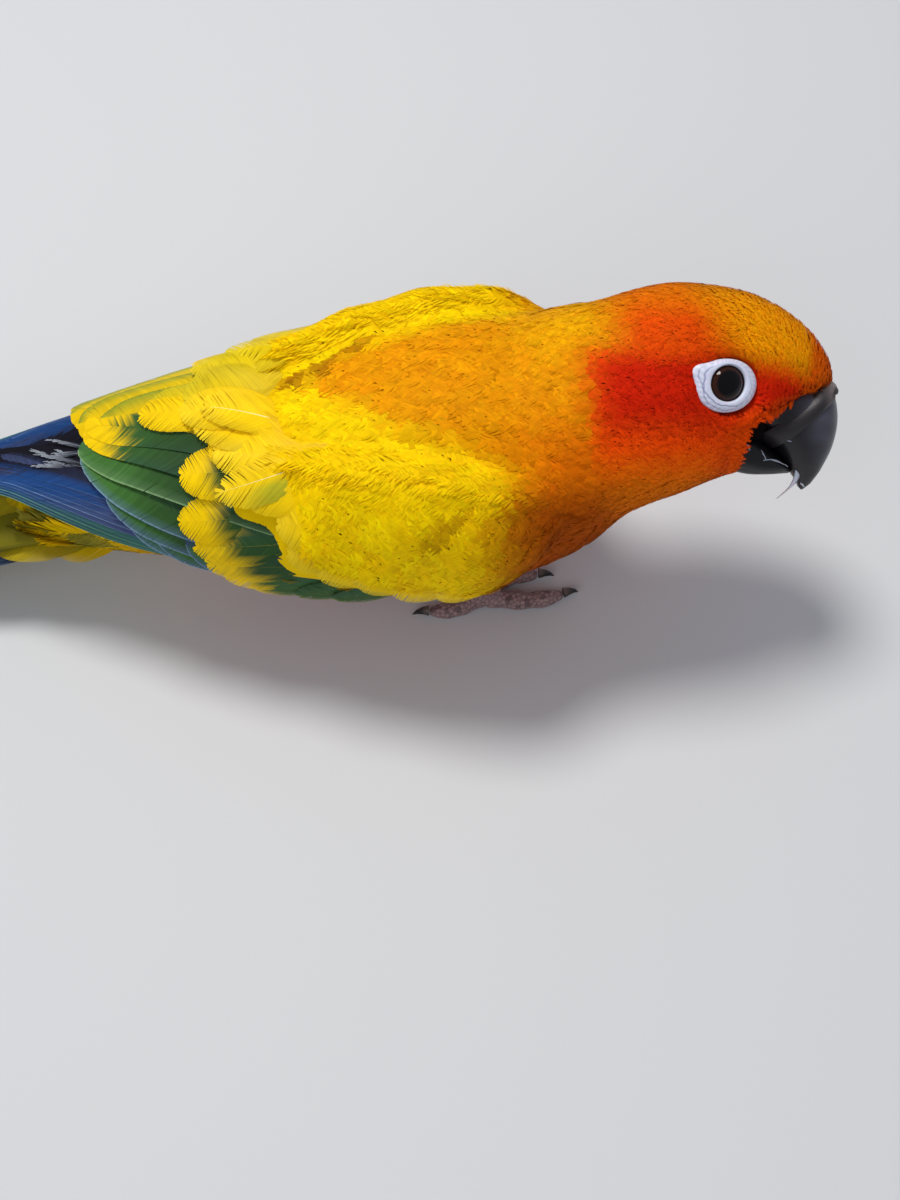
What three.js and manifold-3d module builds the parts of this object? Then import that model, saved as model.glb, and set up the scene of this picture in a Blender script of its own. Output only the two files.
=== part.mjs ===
// Sun conure, standing, life size. Millimetres, +Z up, bill towards +X, the bird's left towards +Y.
// The origin lies on the ground under the middle of the bird's length. Inside this file x is counted
// forward of the feet, and the whole bird is moved at the end.
import * as THREE from "three";
import { mergeVertices } from "three/addons/utils/BufferGeometryUtils.js";
import Module from "manifold-3d";

const wasm = await Module();
wasm.setup();

// Driving dimensions
const GAP = 0.3; // left between two pieces that touch
const MIDDLE_TO_FEET = 77.5; // from the middle of the bird's length forward to its feet
const VANE = 0.55; // thickness of a modelled feather

// Trunk from the rump to the base of the neck. x, z: middle of the section; wide: half width;
// up, down: rise of the back and drop of the belly from the middle; pitch: lean of the section.
const TRUNK = [
  { x: -86, z: 22.5, wide: 10.5, up: 5.5, down: 6, pitch: 0 },
  { x: -76, z: 24.5, wide: 13, up: 8.5, down: 9, pitch: 0 },
  { x: -58, z: 29.2, wide: 17, up: 13, down: 14.5, pitch: 0 },
  { x: -36, z: 34.5, wide: 21.8, up: 19.5, down: 20, pitch: 0 },
  { x: -14, z: 38, wide: 24.6, up: 23.5, down: 24.5, pitch: 4 },
  { x: 0, z: 41, wide: 24.8, up: 23.3, down: 26.5, pitch: 12 },
  { x: 11, z: 45.5, wide: 22.4, up: 19.8, down: 23.5, pitch: 22 },
];
const TRUNK_RINGS = 18;
const TRUNK_SIDES = 26;

// What the folded wings lie on: the trunk's sides, and behind them a narrowing roof over the tail.
const BED = [
  { x: -144, z: 19, wide: 4.8, up: 4.2, down: 4.2, pitch: 0 },
  { x: -120, z: 22, wide: 7, up: 6.4, down: 6.4, pitch: 0 },
  { x: -98, z: 25, wide: 9.6, up: 8.8, down: 8.6, pitch: 0 },
  { x: -78, z: 28.2, wide: 12.8, up: 11, down: 11.2, pitch: 0 },
  { x: -57, z: 31.8, wide: 17.4, up: 15.2, down: 15.6, pitch: 0 },
  ...TRUNK.slice(3),
];

// Head in its own frame: x towards the bill, z towards the crown, origin in the middle of the skull.
const HEAD = [
  { x: -11, z: -1, wide: 15.8, up: 17, down: 18.5, pitch: 12 },
  { x: -5, z: -0.5, wide: 15.4, up: 18.6, down: 17.6, pitch: 0 },
  { x: 2, z: -0.5, wide: 14.6, up: 18.8, down: 16.3, pitch: -10 },
  { x: 8, z: -2, wide: 13, up: 18, down: 14.5, pitch: -24 },
  { x: 12.5, z: -3.8, wide: 10.8, up: 15.8, down: 12.8, pitch: -37 },
  { x: 16.2, z: -5.7, wide: 7.9, up: 12.2, down: 11.2, pitch: -47 },
];
const HEAD_AT = new THREE.Vector3(33.4, 0, 54.8);
const HEAD_ROLL = 46; // the crown leans to the bird's left, so that its right eye looks up
const HEAD_SIZE = 1.045;
const HEAD_RINGS = 12;
const HEAD_SIDES = 26;
const NECK_RINGS = 5;
const NECK_REACH = 9; // how firmly the neck sets out along the trunk's line and arrives along the head's

// Horn of the bill in the head's frame, from its base (t 0) to its tip (t 1): the ridge above,
// the cutting edge below, and the half width between them.
const UPPER_BILL = [
  { x: 0, ridgeX: 25.2, ridgeZ: 0.8, edgeX: 14.2, edgeZ: -8.2, wide: 6.9 },
  { x: 0.3, ridgeX: 26.1, ridgeZ: -3.2, edgeX: 16.2, edgeZ: -10.3, wide: 6.2 },
  { x: 0.6, ridgeX: 25.6, ridgeZ: -7.8, edgeX: 18.1, edgeZ: -12.3, wide: 4.9 },
  { x: 0.85, ridgeX: 23.7, ridgeZ: -12.4, edgeX: 19.5, edgeZ: -14, wide: 2.7 },
  { x: 1, ridgeX: 21.4, ridgeZ: -15.9, edgeX: 20.6, edgeZ: -15.8, wide: 0.6 },
];
const LOWER_BILL = [
  { x: 0, ridgeX: 13.2, ridgeZ: -7.6, edgeX: 7.8, edgeZ: -12.8, wide: 6.2 },
  { x: 0.4, ridgeX: 16, ridgeZ: -9.6, edgeX: 10.8, edgeZ: -14.2, wide: 5.7 },
  { x: 0.75, ridgeX: 18, ridgeZ: -11.4, edgeX: 14, edgeZ: -14.4, wide: 4.4 },
  { x: 1, ridgeX: 18.9, ridgeZ: -12.6, edgeX: 17.7, edgeZ: -13.8, wide: 2.2 },
];
const CERE = [
  { x: 0, ridgeX: 24.9, ridgeZ: 2.8, edgeX: 13.0, edgeZ: -7.4, wide: 7.4 },
  { x: 0.5, ridgeX: 25.6, ridgeZ: 2.1, edgeX: 13.9, edgeZ: -8.2, wide: 7.7 },
  { x: 1, ridgeX: 25.6, ridgeZ: 1.2, edgeX: 14.5, edgeZ: -8.6, wide: 7.2 },
];
const NOSTRIL = 0.75;

// Eyes
const EYE_AT = { x: 6, y: 13.1, z: 3 };
const EYE_AIM = 17; // forwards of straight sideways
const EYEBALL = 3.7;
const EYE_DEPTH = 2.8; // from the ring's seat down to the middle of the eyeball
const EYELIDS = [
  [2.75, 0.12],
  [3.15, -0.33],
  [3.6, -1.05],
  [4.45, -1.05],
  [4.4, -0.1],
  [3.6, 0.65],
  [2.8, 0.55],
];
const EYELID_SIDES = 20;
const EYELID_OVAL = 0.75; // how much longer the bare ring is, before and behind the eye
const EYELID_POINT = 0.6; // and how far it is drawn out to a point behind
const EYELID_INNER = 3; // the round part of the ring, which isn't drawn out
const EYELID_BAND = 1.45; // from there to the ring's outer edge
const SOCKET = { floor: -1.5, top: 4, wide: 4.45, flare: 0.2 };

// Legs. Each point is x, y away from the middle of the foot, z, and the radius there.
const FOOT_OUT = 9.5;
const THIGH = [
  [-12.6, 1, 9.8, 2.4],
  [-11, 1.5, 13, 4.5],
  [-7, 2, 18, 6.5],
  [-2, 2.5, 26, 8],
];
const SHANK = [
  [-12.5, 0.8, 8.6, 1.7],
  [-7, 0.2, 6.8, 1.8],
  [-3, 0, 5.0, 2.0],
];
const SOLE = [
  [-3.5, 0, 3.2, 2.6],
  [-1, 0, 2.6, 3.3],
  [2, 0, 2.2, 2.4],
];
const SOLE_FLAT = 0.85; // its height over its width
const TOES = [
  { name: 1, path: [[-2, -1.5], [-6, -5], [-9, -6]], radius: 1.7 },
  { name: 2, path: [[0, -1.5], [5, -4.2], [10, -4.8]], radius: 1.9 },
  { name: 3, path: [[0, 1], [6, 1.6], [11, 1.2], [15, 0]], radius: 2.1 },
  { name: 4, path: [[-2, 1], [-7, 3.5], [-12, 4]], radius: 2.0 },
];
const TOE_RINGS = 7;
const TOE_TAPER = 0.22;
const TOE_PADS = 0.09; // how much the pads under a toe swell
const CLAW = 4.6;
const CLAW_ROOT = 1.05; // radius at the toe
const CLAW_TIP = 0.12;
const CLAW_CLEAR = 0.05; // what its tip keeps from the ground

const degrees = Math.PI / 180;

// The value of a key at x on the smooth line through the stations.
function along(stations, key, x) {
  const last = stations.length - 1;
  let i = 0;
  while (i < last - 1 && x > stations[i + 1].x) i += 1;
  const slope = (k) => {
    const a = stations[Math.max(k - 1, 0)];
    const b = stations[Math.min(k + 1, last)];
    return (b[key] - a[key]) / (b.x - a.x);
  };
  const [a, b] = [stations[i], stations[i + 1]];
  const span = b.x - a.x;
  const t = (x - a.x) / span;
  const rise = t * t * (3 - 2 * t);
  return (
    a[key] * (1 - rise) +
    b[key] * rise +
    span * t * (1 - t) * (slope(i) * (1 - t) - slope(i + 1) * t)
  );
}

function stationAt(stations, x) {
  const found = { x };
  for (const key of Object.keys(stations[0]))
    if (key !== "x") found[key] = along(stations, key, x);
  return found;
}

// A point of a section, turned by angle from its top towards the bird's left, grown outwards by grow.
function sectionPoint(station, angle, grow = 0) {
  const lift = (Math.cos(angle) > 0 ? station.up : station.down) + grow;
  const high = lift * Math.cos(angle);
  const lean = station.pitch * degrees;
  return new THREE.Vector3(
    station.x - high * Math.sin(lean),
    (station.wide + grow) * Math.sin(angle),
    station.z + high * Math.cos(lean),
  );
}

function sectionRing(station, sides, grow = 0) {
  return Array.from({ length: sides }, (_, k) =>
    sectionPoint(station, (2 * Math.PI * k) / sides, grow),
  );
}

// A closed solid through rings of the same number of points, with a fan over each end.
function loft(rings) {
  const sides = rings[0].length;
  const points = rings.flat();
  const faces = [];
  for (let r = 0; r + 1 < rings.length; r += 1)
    for (let k = 0; k < sides; k += 1) {
      const a = r * sides + k;
      const b = r * sides + ((k + 1) % sides);
      faces.push(a, b, b + sides, a, b + sides, a + sides);
    }
  for (const end of [0, rings.length - 1]) {
    const middle = new THREE.Vector3();
    rings[end].forEach((p) => middle.addScaledVector(p, 1 / sides));
    points.push(middle);
    for (let k = 0; k < sides; k += 1) {
      const edge = [end * sides + k, end * sides + ((k + 1) % sides)];
      if (end === 0) edge.reverse();
      faces.push(...edge, points.length - 1);
    }
  }
  return solid(points, faces);
}

// A manifold solid from points and triangles, turned to face outwards.
function solid(points, faces) {
  const make = (triVerts) =>
    new wasm.Manifold(
      new wasm.Mesh({
        numProp: 3,
        vertProperties: new Float32Array(points.flatMap((p) => p.toArray())),
        triVerts: new Uint32Array(triVerts),
      }),
    );
  const made = make(faces);
  return made.volume() > 0 ? made : make([...faces].reverse());
}

function solidOf(geometry) {
  const bare = geometry.clone();
  bare.deleteAttribute("normal");
  bare.deleteAttribute("uv");
  const merged = mergeVertices(bare, 1e-4);
  const at = merged.getAttribute("position");
  const points = Array.from({ length: at.count }, (_, i) =>
    new THREE.Vector3().fromBufferAttribute(at, i),
  );
  return solid(points, [...merged.index.array]);
}

function geometryOf(made) {
  const mesh = made.getMesh();
  const geometry = new THREE.BufferGeometry();
  geometry.setAttribute(
    "position",
    new THREE.BufferAttribute(new Float32Array(mesh.vertProperties), 3),
  );
  geometry.setIndex(new THREE.BufferAttribute(mesh.triVerts, 1));
  return geometry;
}

// The largest closed surface of a solid: loose scraps and sealed hollows are dropped.
function largest(made) {
  const bodies = made.decompose();
  bodies.sort((a, b) => b.volume() - a.volume());
  return bodies[0];
}

const finishes = {
  plumage: new THREE.MeshStandardMaterial({ color: 0xf0a818, roughness: 0.85 }),
  face: new THREE.MeshStandardMaterial({ color: 0xe8621a, roughness: 0.85 }),
  wing: new THREE.MeshStandardMaterial({ color: 0xf2cb12, roughness: 0.7 }),
  tail: new THREE.MeshStandardMaterial({ color: 0x8c9632, roughness: 0.6 }),
  bill: new THREE.MeshStandardMaterial({ color: 0x33333a, roughness: 0.4 }),
  cere: new THREE.MeshStandardMaterial({ color: 0x746c6a, roughness: 0.7 }),
  eyeRing: new THREE.MeshStandardMaterial({ color: 0xd6dcec, roughness: 0.6 }),
  eye: new THREE.MeshStandardMaterial({ color: 0x120c0a, roughness: 0.08 }),
  foot: new THREE.MeshStandardMaterial({ color: 0x8f7f80, roughness: 0.75 }),
  claw: new THREE.MeshStandardMaterial({ color: 0x3a3638, roughness: 0.45 }),
};

const bird = new THREE.Group();
bird.position.x = MIDDLE_TO_FEET;

function add(name, made, finish) {
  const mesh = new THREE.Mesh(geometryOf(largest(made)), finish);
  mesh.name = name;
  bird.add(mesh);
  return mesh;
}

// Head frame to bird frame
const headMatrix = new THREE.Matrix4().compose(
  HEAD_AT,
  new THREE.Quaternion().setFromEuler(
    new THREE.Euler(-HEAD_ROLL * degrees, 0, 0),
  ),
  new THREE.Vector3(HEAD_SIZE, HEAD_SIZE, HEAD_SIZE),
);
const inHead = (point) => point.applyMatrix4(headMatrix);

// Trunk: rump, back, belly and breast in one
function trunkSolid(grow = 0) {
  const first = TRUNK[0].x;
  const last = TRUNK[TRUNK.length - 1].x;
  const rings = Array.from({ length: TRUNK_RINGS }, (_, r) => {
    const x = first + ((last - first) * r) / (TRUNK_RINGS - 1);
    return sectionRing(stationAt(TRUNK, x), TRUNK_SIDES, grow);
  });
  return loft(rings);
}

// Head without its bill
function headRings(grow = 0) {
  const first = HEAD[0].x;
  const last = HEAD[HEAD.length - 1].x;
  return Array.from({ length: HEAD_RINGS }, (_, r) => {
    const x = first + ((last - first) * r) / (HEAD_RINGS - 1);
    return sectionRing(stationAt(HEAD, x), HEAD_SIDES, grow).map(inHead);
  });
}

// Neck: drawn between the trunk's last ring and the head's first, a gap away from each
function neckSolid() {
  const from = sectionRing(stationAt(TRUNK, TRUNK[TRUNK.length - 1].x), HEAD_SIDES);
  const to = headRings()[0];
  const lean = TRUNK[TRUNK.length - 1].pitch * degrees;
  const leave = new THREE.Vector3(Math.cos(lean), 0, Math.sin(lean));
  const tilt = HEAD[0].pitch * degrees;
  const arrive = new THREE.Vector3(Math.cos(tilt), 0, Math.sin(tilt))
    .transformDirection(headMatrix);
  const turned = Math.round((HEAD_ROLL / 360) * HEAD_SIDES); // keeps the neck from twisting
  const rings = Array.from({ length: NECK_RINGS }, (_, r) => {
    const t = r / (NECK_RINGS - 1);
    const rise = t * t * (3 - 2 * t);
    return from.map((p, k) => {
      const start = p.clone().addScaledVector(leave, GAP);
      const end = to[(k - turned + HEAD_SIDES) % HEAD_SIDES].clone().addScaledVector(arrive, -GAP);
      return start
        .multiplyScalar(1 - rise)
        .addScaledVector(end, rise)
        .addScaledVector(leave, NECK_REACH * t * (1 - t) * (1 - t))
        .addScaledVector(arrive, -NECK_REACH * t * t * (1 - t));
    });
  });
  return loft(rings);
}

// A solid bent round an axis: one closed profile for each angle, and the last meets the first.
function wreath(profiles) {
  const count = profiles.length;
  const size = profiles[0].length;
  const faces = [];
  for (let i = 0; i < count; i += 1)
    for (let j = 0; j < size; j += 1) {
      const [a, b] = [i * size + j, i * size + ((j + 1) % size)];
      const next = (i + 1) % count;
      const [c, d] = [next * size + ((j + 1) % size), next * size + j];
      faces.push(a, b, c, a, c, d);
    }
  return solid(profiles.flat(), faces);
}

// A tube through points, with a radius at each and its cross-section flattened by squash.
function tube(path, radii, sides, squash = 1) {
  const up = new THREE.Vector3(0, 0, 1);
  const rings = path.map((p, i) => {
    const ahead = path[Math.min(i + 1, path.length - 1)];
    const behind = path[Math.max(i - 1, 0)];
    const run = ahead.clone().sub(behind).normalize();
    const across = new THREE.Vector3().crossVectors(up, run);
    if (across.length() < 1e-3) across.set(0, 1, 0);
    across.normalize();
    const over = new THREE.Vector3().crossVectors(run, across);
    return Array.from({ length: sides }, (_, k) => {
      const angle = (2 * Math.PI * (k + 0.5)) / sides;
      return p
        .clone()
        .addScaledVector(across, radii[i] * Math.cos(angle))
        .addScaledVector(over, radii[i] * squash * Math.sin(angle));
    });
  });
  return loft(rings);
}

function horn(stations, count, sides, grow = 0) {
  const bow = (value) => Math.sign(value) * Math.abs(value) ** 0.85;
  const rings = Array.from({ length: count }, (_, r) => {
    const at = stationAt(stations, r / (count - 1));
    const ridge = new THREE.Vector3(at.ridgeX, 0, at.ridgeZ);
    const edge = new THREE.Vector3(at.edgeX, 0, at.edgeZ);
    const rise = ridge.clone().sub(edge).normalize();
    ridge.addScaledVector(rise, grow);
    edge.addScaledVector(rise, -grow);
    return Array.from({ length: sides }, (_, k) => {
      const angle = (2 * Math.PI * k) / sides;
      const point = edge.clone().lerp(ridge, 0.5 + 0.5 * bow(Math.cos(angle)));
      point.y = (at.wide + grow) * bow(Math.sin(angle));
      return inHead(point);
    });
  });
  return loft(rings);
}

// What lies ahead of the feathered face, a gap away from it
const face = HEAD[HEAD.length - 1];
const faceAim = new THREE.Vector3(
  Math.cos(face.pitch * degrees),
  0,
  Math.sin(face.pitch * degrees),
).transformDirection(headMatrix);
const faceReach = inHead(new THREE.Vector3(face.x, 0, face.z)).dot(faceAim);
const aheadOfFace = (made) =>
  made.trimByPlane(faceAim.toArray(), faceReach + GAP);

// Ground level: everything below it is cut away
const onGround = (made) => made.trimByPlane([0, 0, 1], 0);

// Wings. A point of a wing: its station along the bird, its angle from the top of the back,
// and its height over the bed it lies on.
function bedPoint(side, x, angle, height) {
  return sectionPoint(stationAt(BED, x), side * angle * degrees, height);
}

// The wing's arm and hand under their smallest feathers. top, low: angles of its upper and lower edge.
const WING_PAD = [
  { x: -66, top: 22, low: 88, thick: 1.0 },
  { x: -54, top: 20, low: 94, thick: 2.2 },
  { x: -36, top: 25, low: 103, thick: 4.2 },
  { x: -16, top: 35, low: 109, thick: 5.2 },
  { x: -2, top: 43, low: 107, thick: 5.2 },
  { x: 8, top: 52, low: 96, thick: 4.0 },
  { x: 13, top: 62, low: 82, thick: 1.2 },
];
// Tiers of the folded wing, each feather counted from the back downwards. root, tip: station along
// the bird; from, to: angles at root and tip; via: angle half way; rise: heights of root and tip
// over the bed; drop: how much lower each feather lies than the one above it.
const TIERS = {
  primaries: {
    half: 4.0,
    drop: 0.25,
    rise: [1.2, 1.6],
    feathers: [
      { root: -52, tip: -100, from: 58, via: 38, to: 24 },
      { root: -50, tip: -110, from: 65, via: 41, to: 24 },
      { root: -48, tip: -119, from: 72, via: 43, to: 25 },
      { root: -46, tip: -128, from: 79, via: 44, to: 26 },
      { root: -44, tip: -135, from: 86, via: 45, to: 27 },
      { root: -42, tip: -141, from: 93, via: 46, to: 28 },
    ],
  },
  secondaries: {
    half: 4.4,
    drop: 0,
    rise: [1.4, 2.6],
    feathers: [
      { root: -30, tip: -70, from: 36, via: 26, to: 19 },
      { root: -30, tip: -78, from: 46, via: 36, to: 27 },
      { root: -30, tip: -82, from: 56, via: 46, to: 37 },
      { root: -30, tip: -83, from: 65, via: 56, to: 48 },
      { root: -29, tip: -80, from: 74, via: 66, to: 59 },
      { root: -28, tip: -75, from: 83, via: 76, to: 70 },
      { root: -27, tip: -68, from: 92, via: 86, to: 81 },
      { root: -26, tip: -60, from: 100, via: 96, to: 92 },
    ],
  },
  greaterCoverts: {
    half: 4.6,
    drop: 0,
    rise: [2.1, 3.7],
    feathers: [
      { root: -42, tip: -66, from: 26, via: 24, to: 22 },
      { root: -40, tip: -64, from: 38, via: 36, to: 34 },
      { root: -38, tip: -62, from: 49, via: 47, to: 46 },
      { root: -36, tip: -60, from: 60, via: 58, to: 57 },
      { root: -34, tip: -58, from: 71, via: 69, to: 68 },
      { root: -32, tip: -55, from: 82, via: 80, to: 79 },
      { root: -29, tip: -51, from: 91, via: 90, to: 89 },
      { root: -25, tip: -46, from: 100, via: 99, to: 98 },
    ],
  },
  medianCoverts: {
    half: 4.8,
    drop: 0,
    rise: [3.1, 4.4],
    feathers: [
      { root: -36, tip: -56, from: 25, via: 23, to: 22 },
      { root: -33, tip: -52, from: 39, via: 37, to: 36 },
      { root: -29, tip: -48, from: 53, via: 51, to: 50 },
      { root: -24, tip: -43, from: 66, via: 65, to: 64 },
      { root: -17, tip: -37, from: 78, via: 77, to: 76 },
      { root: -10, tip: -30, from: 88, via: 88, to: 88 },
      { root: -4, tip: -23, from: 97, via: 97, to: 97 },
    ],
  },
};
const SHINGLE = 0.26; // how steeply each wing feather dips under the one above it
const WING_UNDER = 0.5; // clear of the bed
const PAD_EDGE = 0.4; // thickness of the arm's pad at its edges

function padSolid(stations, side, count, across) {
  const first = stations[0].x;
  const last = stations[stations.length - 1].x;
  const rings = Array.from({ length: count }, (_, r) => {
    const x = first + ((last - first) * r) / (count - 1);
    const at = stationAt(stations, x);
    const under = [];
    const over = [];
    for (let k = 0; k <= across; k += 1) {
      const f = k / across;
      const angle = at.top + (at.low - at.top) * f;
      const bulge = Math.sqrt(Math.max(1 - (2 * f - 1) ** 4, 0));
      under.push(bedPoint(side, x, angle, WING_UNDER));
      const thick = PAD_EDGE + (at.thick - PAD_EDGE) * bulge;
      over.push(bedPoint(side, x, angle, WING_UNDER + thick));
    }
    return [...under, ...over.reverse()];
  });
  return loft(rings);
}

// Tail. The feathers of one half, from the middle outwards: length, half width, and distance of
// the middle line from the tail's own at root and tip.
const TAIL_ROOT = [
  { x: -112, z: 18.6, wide: 8.5, up: 0.8, down: 1.8, pitch: 0 },
  { x: -97, z: 20.6, wide: 12.0, up: 3.6, down: 4.2, pitch: 0 },
  { x: -86.3, z: 22.4, wide: 10.6, up: 5.4, down: 5.8, pitch: 0 },
];
const TAIL_ROOT_RINGS = 7;
const TAIL_ROOT_SIDES = 20;
const TAIL_START = -87.5;
const TAIL_AT = { x: -86.3, z: 22.4 }; // the height of the tail's surface at its root
const TAIL_ARCH = { rise: 1.4, length: 30 }; // the feathers' roots arch up over the rump
const TAIL_FALL = 0.163; // how far it sinks for each millimetre backwards
const TAIL_ROOF = 0.2; // and for each millimetre outwards
const RECTRICES = [
  { length: 128.5, half: 6.4, from: 2.6, to: 3.0, level: 0 },
  { length: 120, half: 6.2, from: 3.4, to: 5.0, level: -0.55 },
  { length: 108, half: 5.9, from: 4.2, to: 6.6, level: -1.1 },
  { length: 95, half: 5.5, from: 5.0, to: 7.8, level: -1.65 },
  { length: 81, half: 5.1, from: 5.8, to: 8.6, level: -2.2 },
  { length: 66, half: 4.7, from: 6.6, to: 9.0, level: -2.75 },
];
const TAIL_COVERTS = [
  { length: 34, half: 4.2, from: 2.6, to: 3.2, level: 1.3 },
  { length: 27, half: 4.0, from: 5.0, to: 6.8, level: 1.0 },
  { length: 20, half: 3.6, from: 7.0, to: 9.6, level: 0.7 },
  { length: 36, half: 4.4, from: 3.2, to: 4.2, level: -3.7 },
  { length: 25, half: 4.0, from: 6.0, to: 8.2, level: -3.9 },
];

// A feather as a thin plate: place(s, q, lift) puts a point s of the way from root to tip, q out
// from the shaft and lift above the feather's own surface. Both faces have the same triangles.
const TIP = [
  [0, 0.62],
  [0.5, 0.97],
  [0.86, 0.96],
  [0.97, 0.55],
  [1, 0.18],
];

function vane(place, half) {
  const points = TIP.flatMap(([s, width]) => [
    place(s, -half * width, VANE / 2),
    place(s, half * width, VANE / 2),
    place(s, -half * width, -VANE / 2),
    place(s, half * width, -VANE / 2),
  ]);
  const faces = [];
  const quad = (a, b, c, d) => faces.push(a, b, c, a, c, d);
  for (let r = 0; r + 1 < TIP.length; r += 1) {
    const [a, b] = [4 * r, 4 * r + 4];
    quad(a, a + 1, b + 1, b);
    faces.push(a + 2, b + 3, a + 3, a + 2, b + 2, b + 3);
    quad(a + 2, a, b, b + 2);
    quad(a + 1, a + 3, b + 3, b + 1);
  }
  const end = 4 * (TIP.length - 1);
  quad(0, 2, 3, 1);
  quad(end + 1, end + 3, end + 2, end);
  return solid(points, faces);
}

function wingFeathers(side) {
  return Object.values(TIERS).flatMap((tier) =>
    tier.feathers.map((feather, k) => {
      const place = (s, q, lift) => {
        const x = feather.root + (feather.tip - feather.root) * s;
        const bed = stationAt(BED, x);
        const middle =
          feather.from * (1 - s) ** 2 + 2 * feather.via * s * (1 - s) + feather.to * s ** 2;
        const height =
          tier.rise[0] + (tier.rise[1] - tier.rise[0]) * s - k * tier.drop + SHINGLE * q;
        const round = (bed.wide + bed.up) / 2 + tier.rise[1];
        return bedPoint(side, x, middle + q / round / degrees, height + lift);
      };
      return vane(place, tier.half);
    }),
  );
}

function tailFeathers() {
  return [...RECTRICES, ...TAIL_COVERTS].flatMap((feather) =>
    [1, -1].map((side) => {
      const place = (s, q, lift) => {
        const x = TAIL_START - feather.length * s;
        const middle = feather.from + (feather.to - feather.from) * Math.sqrt(s);
        const y = Math.max(middle + q, GAP / 2);
        const arch = TAIL_ARCH.rise * Math.max(1 - (TAIL_START - x) / TAIL_ARCH.length, 0) ** 2;
        const z = TAIL_AT.z + TAIL_FALL * (x - TAIL_AT.x) + feather.level + arch;
        return new THREE.Vector3(x, side * y, z - TAIL_ROOF * y + lift);
      };
      return vane(place, feather.half);
    }),
  );
}

function tailRoot() {
  const first = TAIL_ROOT[0].x;
  const last = TAIL_ROOT[TAIL_ROOT.length - 1].x;
  const rings = Array.from({ length: TAIL_ROOT_RINGS }, (_, r) => {
    const x = first + ((last - first) * r) / (TAIL_ROOT_RINGS - 1);
    return sectionRing(stationAt(TAIL_ROOT, x), TAIL_ROOT_SIDES);
  });
  return loft(rings);
}

// Trunk, neck, head and bill
const trunk = trunkSolid();
add("trunk", trunk, finishes.plumage);
add("neck", neckSolid(), finishes.plumage);

const sides = [
  ["left", 1],
  ["right", -1],
];
const drawnOut = (angle) =>
  EYELID_OVAL * Math.cos(angle) ** 2 + EYELID_POINT * Math.max(-Math.cos(angle), 0) ** 6;
let head = loft(headRings());
for (const [side, out] of sides) {
  const aim = new THREE.Vector3(
    Math.sin(EYE_AIM * degrees),
    out * Math.cos(EYE_AIM * degrees),
    0.08,
  ).normalize();
  const forward = new THREE.Vector3(1, 0, 0).addScaledVector(aim, -aim.x).normalize();
  const upward = new THREE.Vector3().crossVectors(aim, forward);
  const seat = new THREE.Matrix4()
    .makeBasis(forward, upward, aim)
    .setPosition(EYE_AT.x, out * EYE_AT.y, EYE_AT.z)
    .premultiply(headMatrix);
  const lids = Array.from({ length: EYELID_SIDES }, (_, i) => {
    const angle = (2 * Math.PI * i) / EYELID_SIDES;
    return EYELIDS.map(([r, h]) => {
      const reach = r + (drawnOut(angle) * Math.max(r - EYELID_INNER, 0)) / EYELID_BAND;
      return new THREE.Vector3(
        reach * Math.cos(angle),
        reach * Math.sin(angle),
        h,
      ).applyMatrix4(seat);
    });
  });
  const socketRings = [SOCKET.floor, SOCKET.top].map((h) =>
    Array.from({ length: EYELID_SIDES }, (_, i) => {
      const angle = (2 * Math.PI * i) / EYELID_SIDES;
      const reach = SOCKET.wide + drawnOut(angle) + GAP + Math.max(h, 0) * SOCKET.flare;
      return new THREE.Vector3(
        reach * Math.cos(angle),
        reach * Math.sin(angle),
        h,
      ).applyMatrix4(seat);
    }),
  );
  const ball = (radius) =>
    solidOf(new THREE.SphereGeometry(radius, 16, 10))
      .transform(
        new THREE.Matrix4().makeTranslation(0, 0, -EYE_DEPTH).premultiply(seat).elements,
      );
  head = head.subtract(loft(socketRings).add(ball(EYEBALL + GAP)));
  add(`eyelids_${side}`, wreath(lids), finishes.eyeRing);
  add(`eye_${side}`, ball(EYEBALL), finishes.eye);
}
add("head", head, finishes.face);

let cere = aheadOfFace(horn(CERE, 3, 16));
for (const [, out] of sides) {
  const pit = solidOf(new THREE.SphereGeometry(NOSTRIL, 8, 6));
  const at = inHead(new THREE.Vector3(24.4, out * 4.6, 0.9));
  cere = cere.subtract(pit.translate(at.toArray()));
}
add("cere", cere, finishes.cere);
const upperBill = horn(UPPER_BILL, 10, 16).subtract(horn(CERE, 3, 16, GAP));
add("bill_upper", upperBill, finishes.bill);
const lowerBill = aheadOfFace(horn(LOWER_BILL, 6, 14))
  .subtract(horn(UPPER_BILL, 10, 16, GAP))
  .subtract(horn(CERE, 3, 16, GAP));
add("bill_lower", lowerBill, finishes.bill);

// Wings and tail
const clearOfTrunk = trunkSolid(GAP);
for (const [side, out] of sides) {
  const wing = wasm.Manifold.union([padSolid(WING_PAD, out, 12, 8), ...wingFeathers(out)]);
  add(`wing_${side}`, wing.subtract(clearOfTrunk), finishes.wing);
}
add("tail", onGround(wasm.Manifold.union([tailRoot(), ...tailFeathers()])), finishes.tail);

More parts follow.
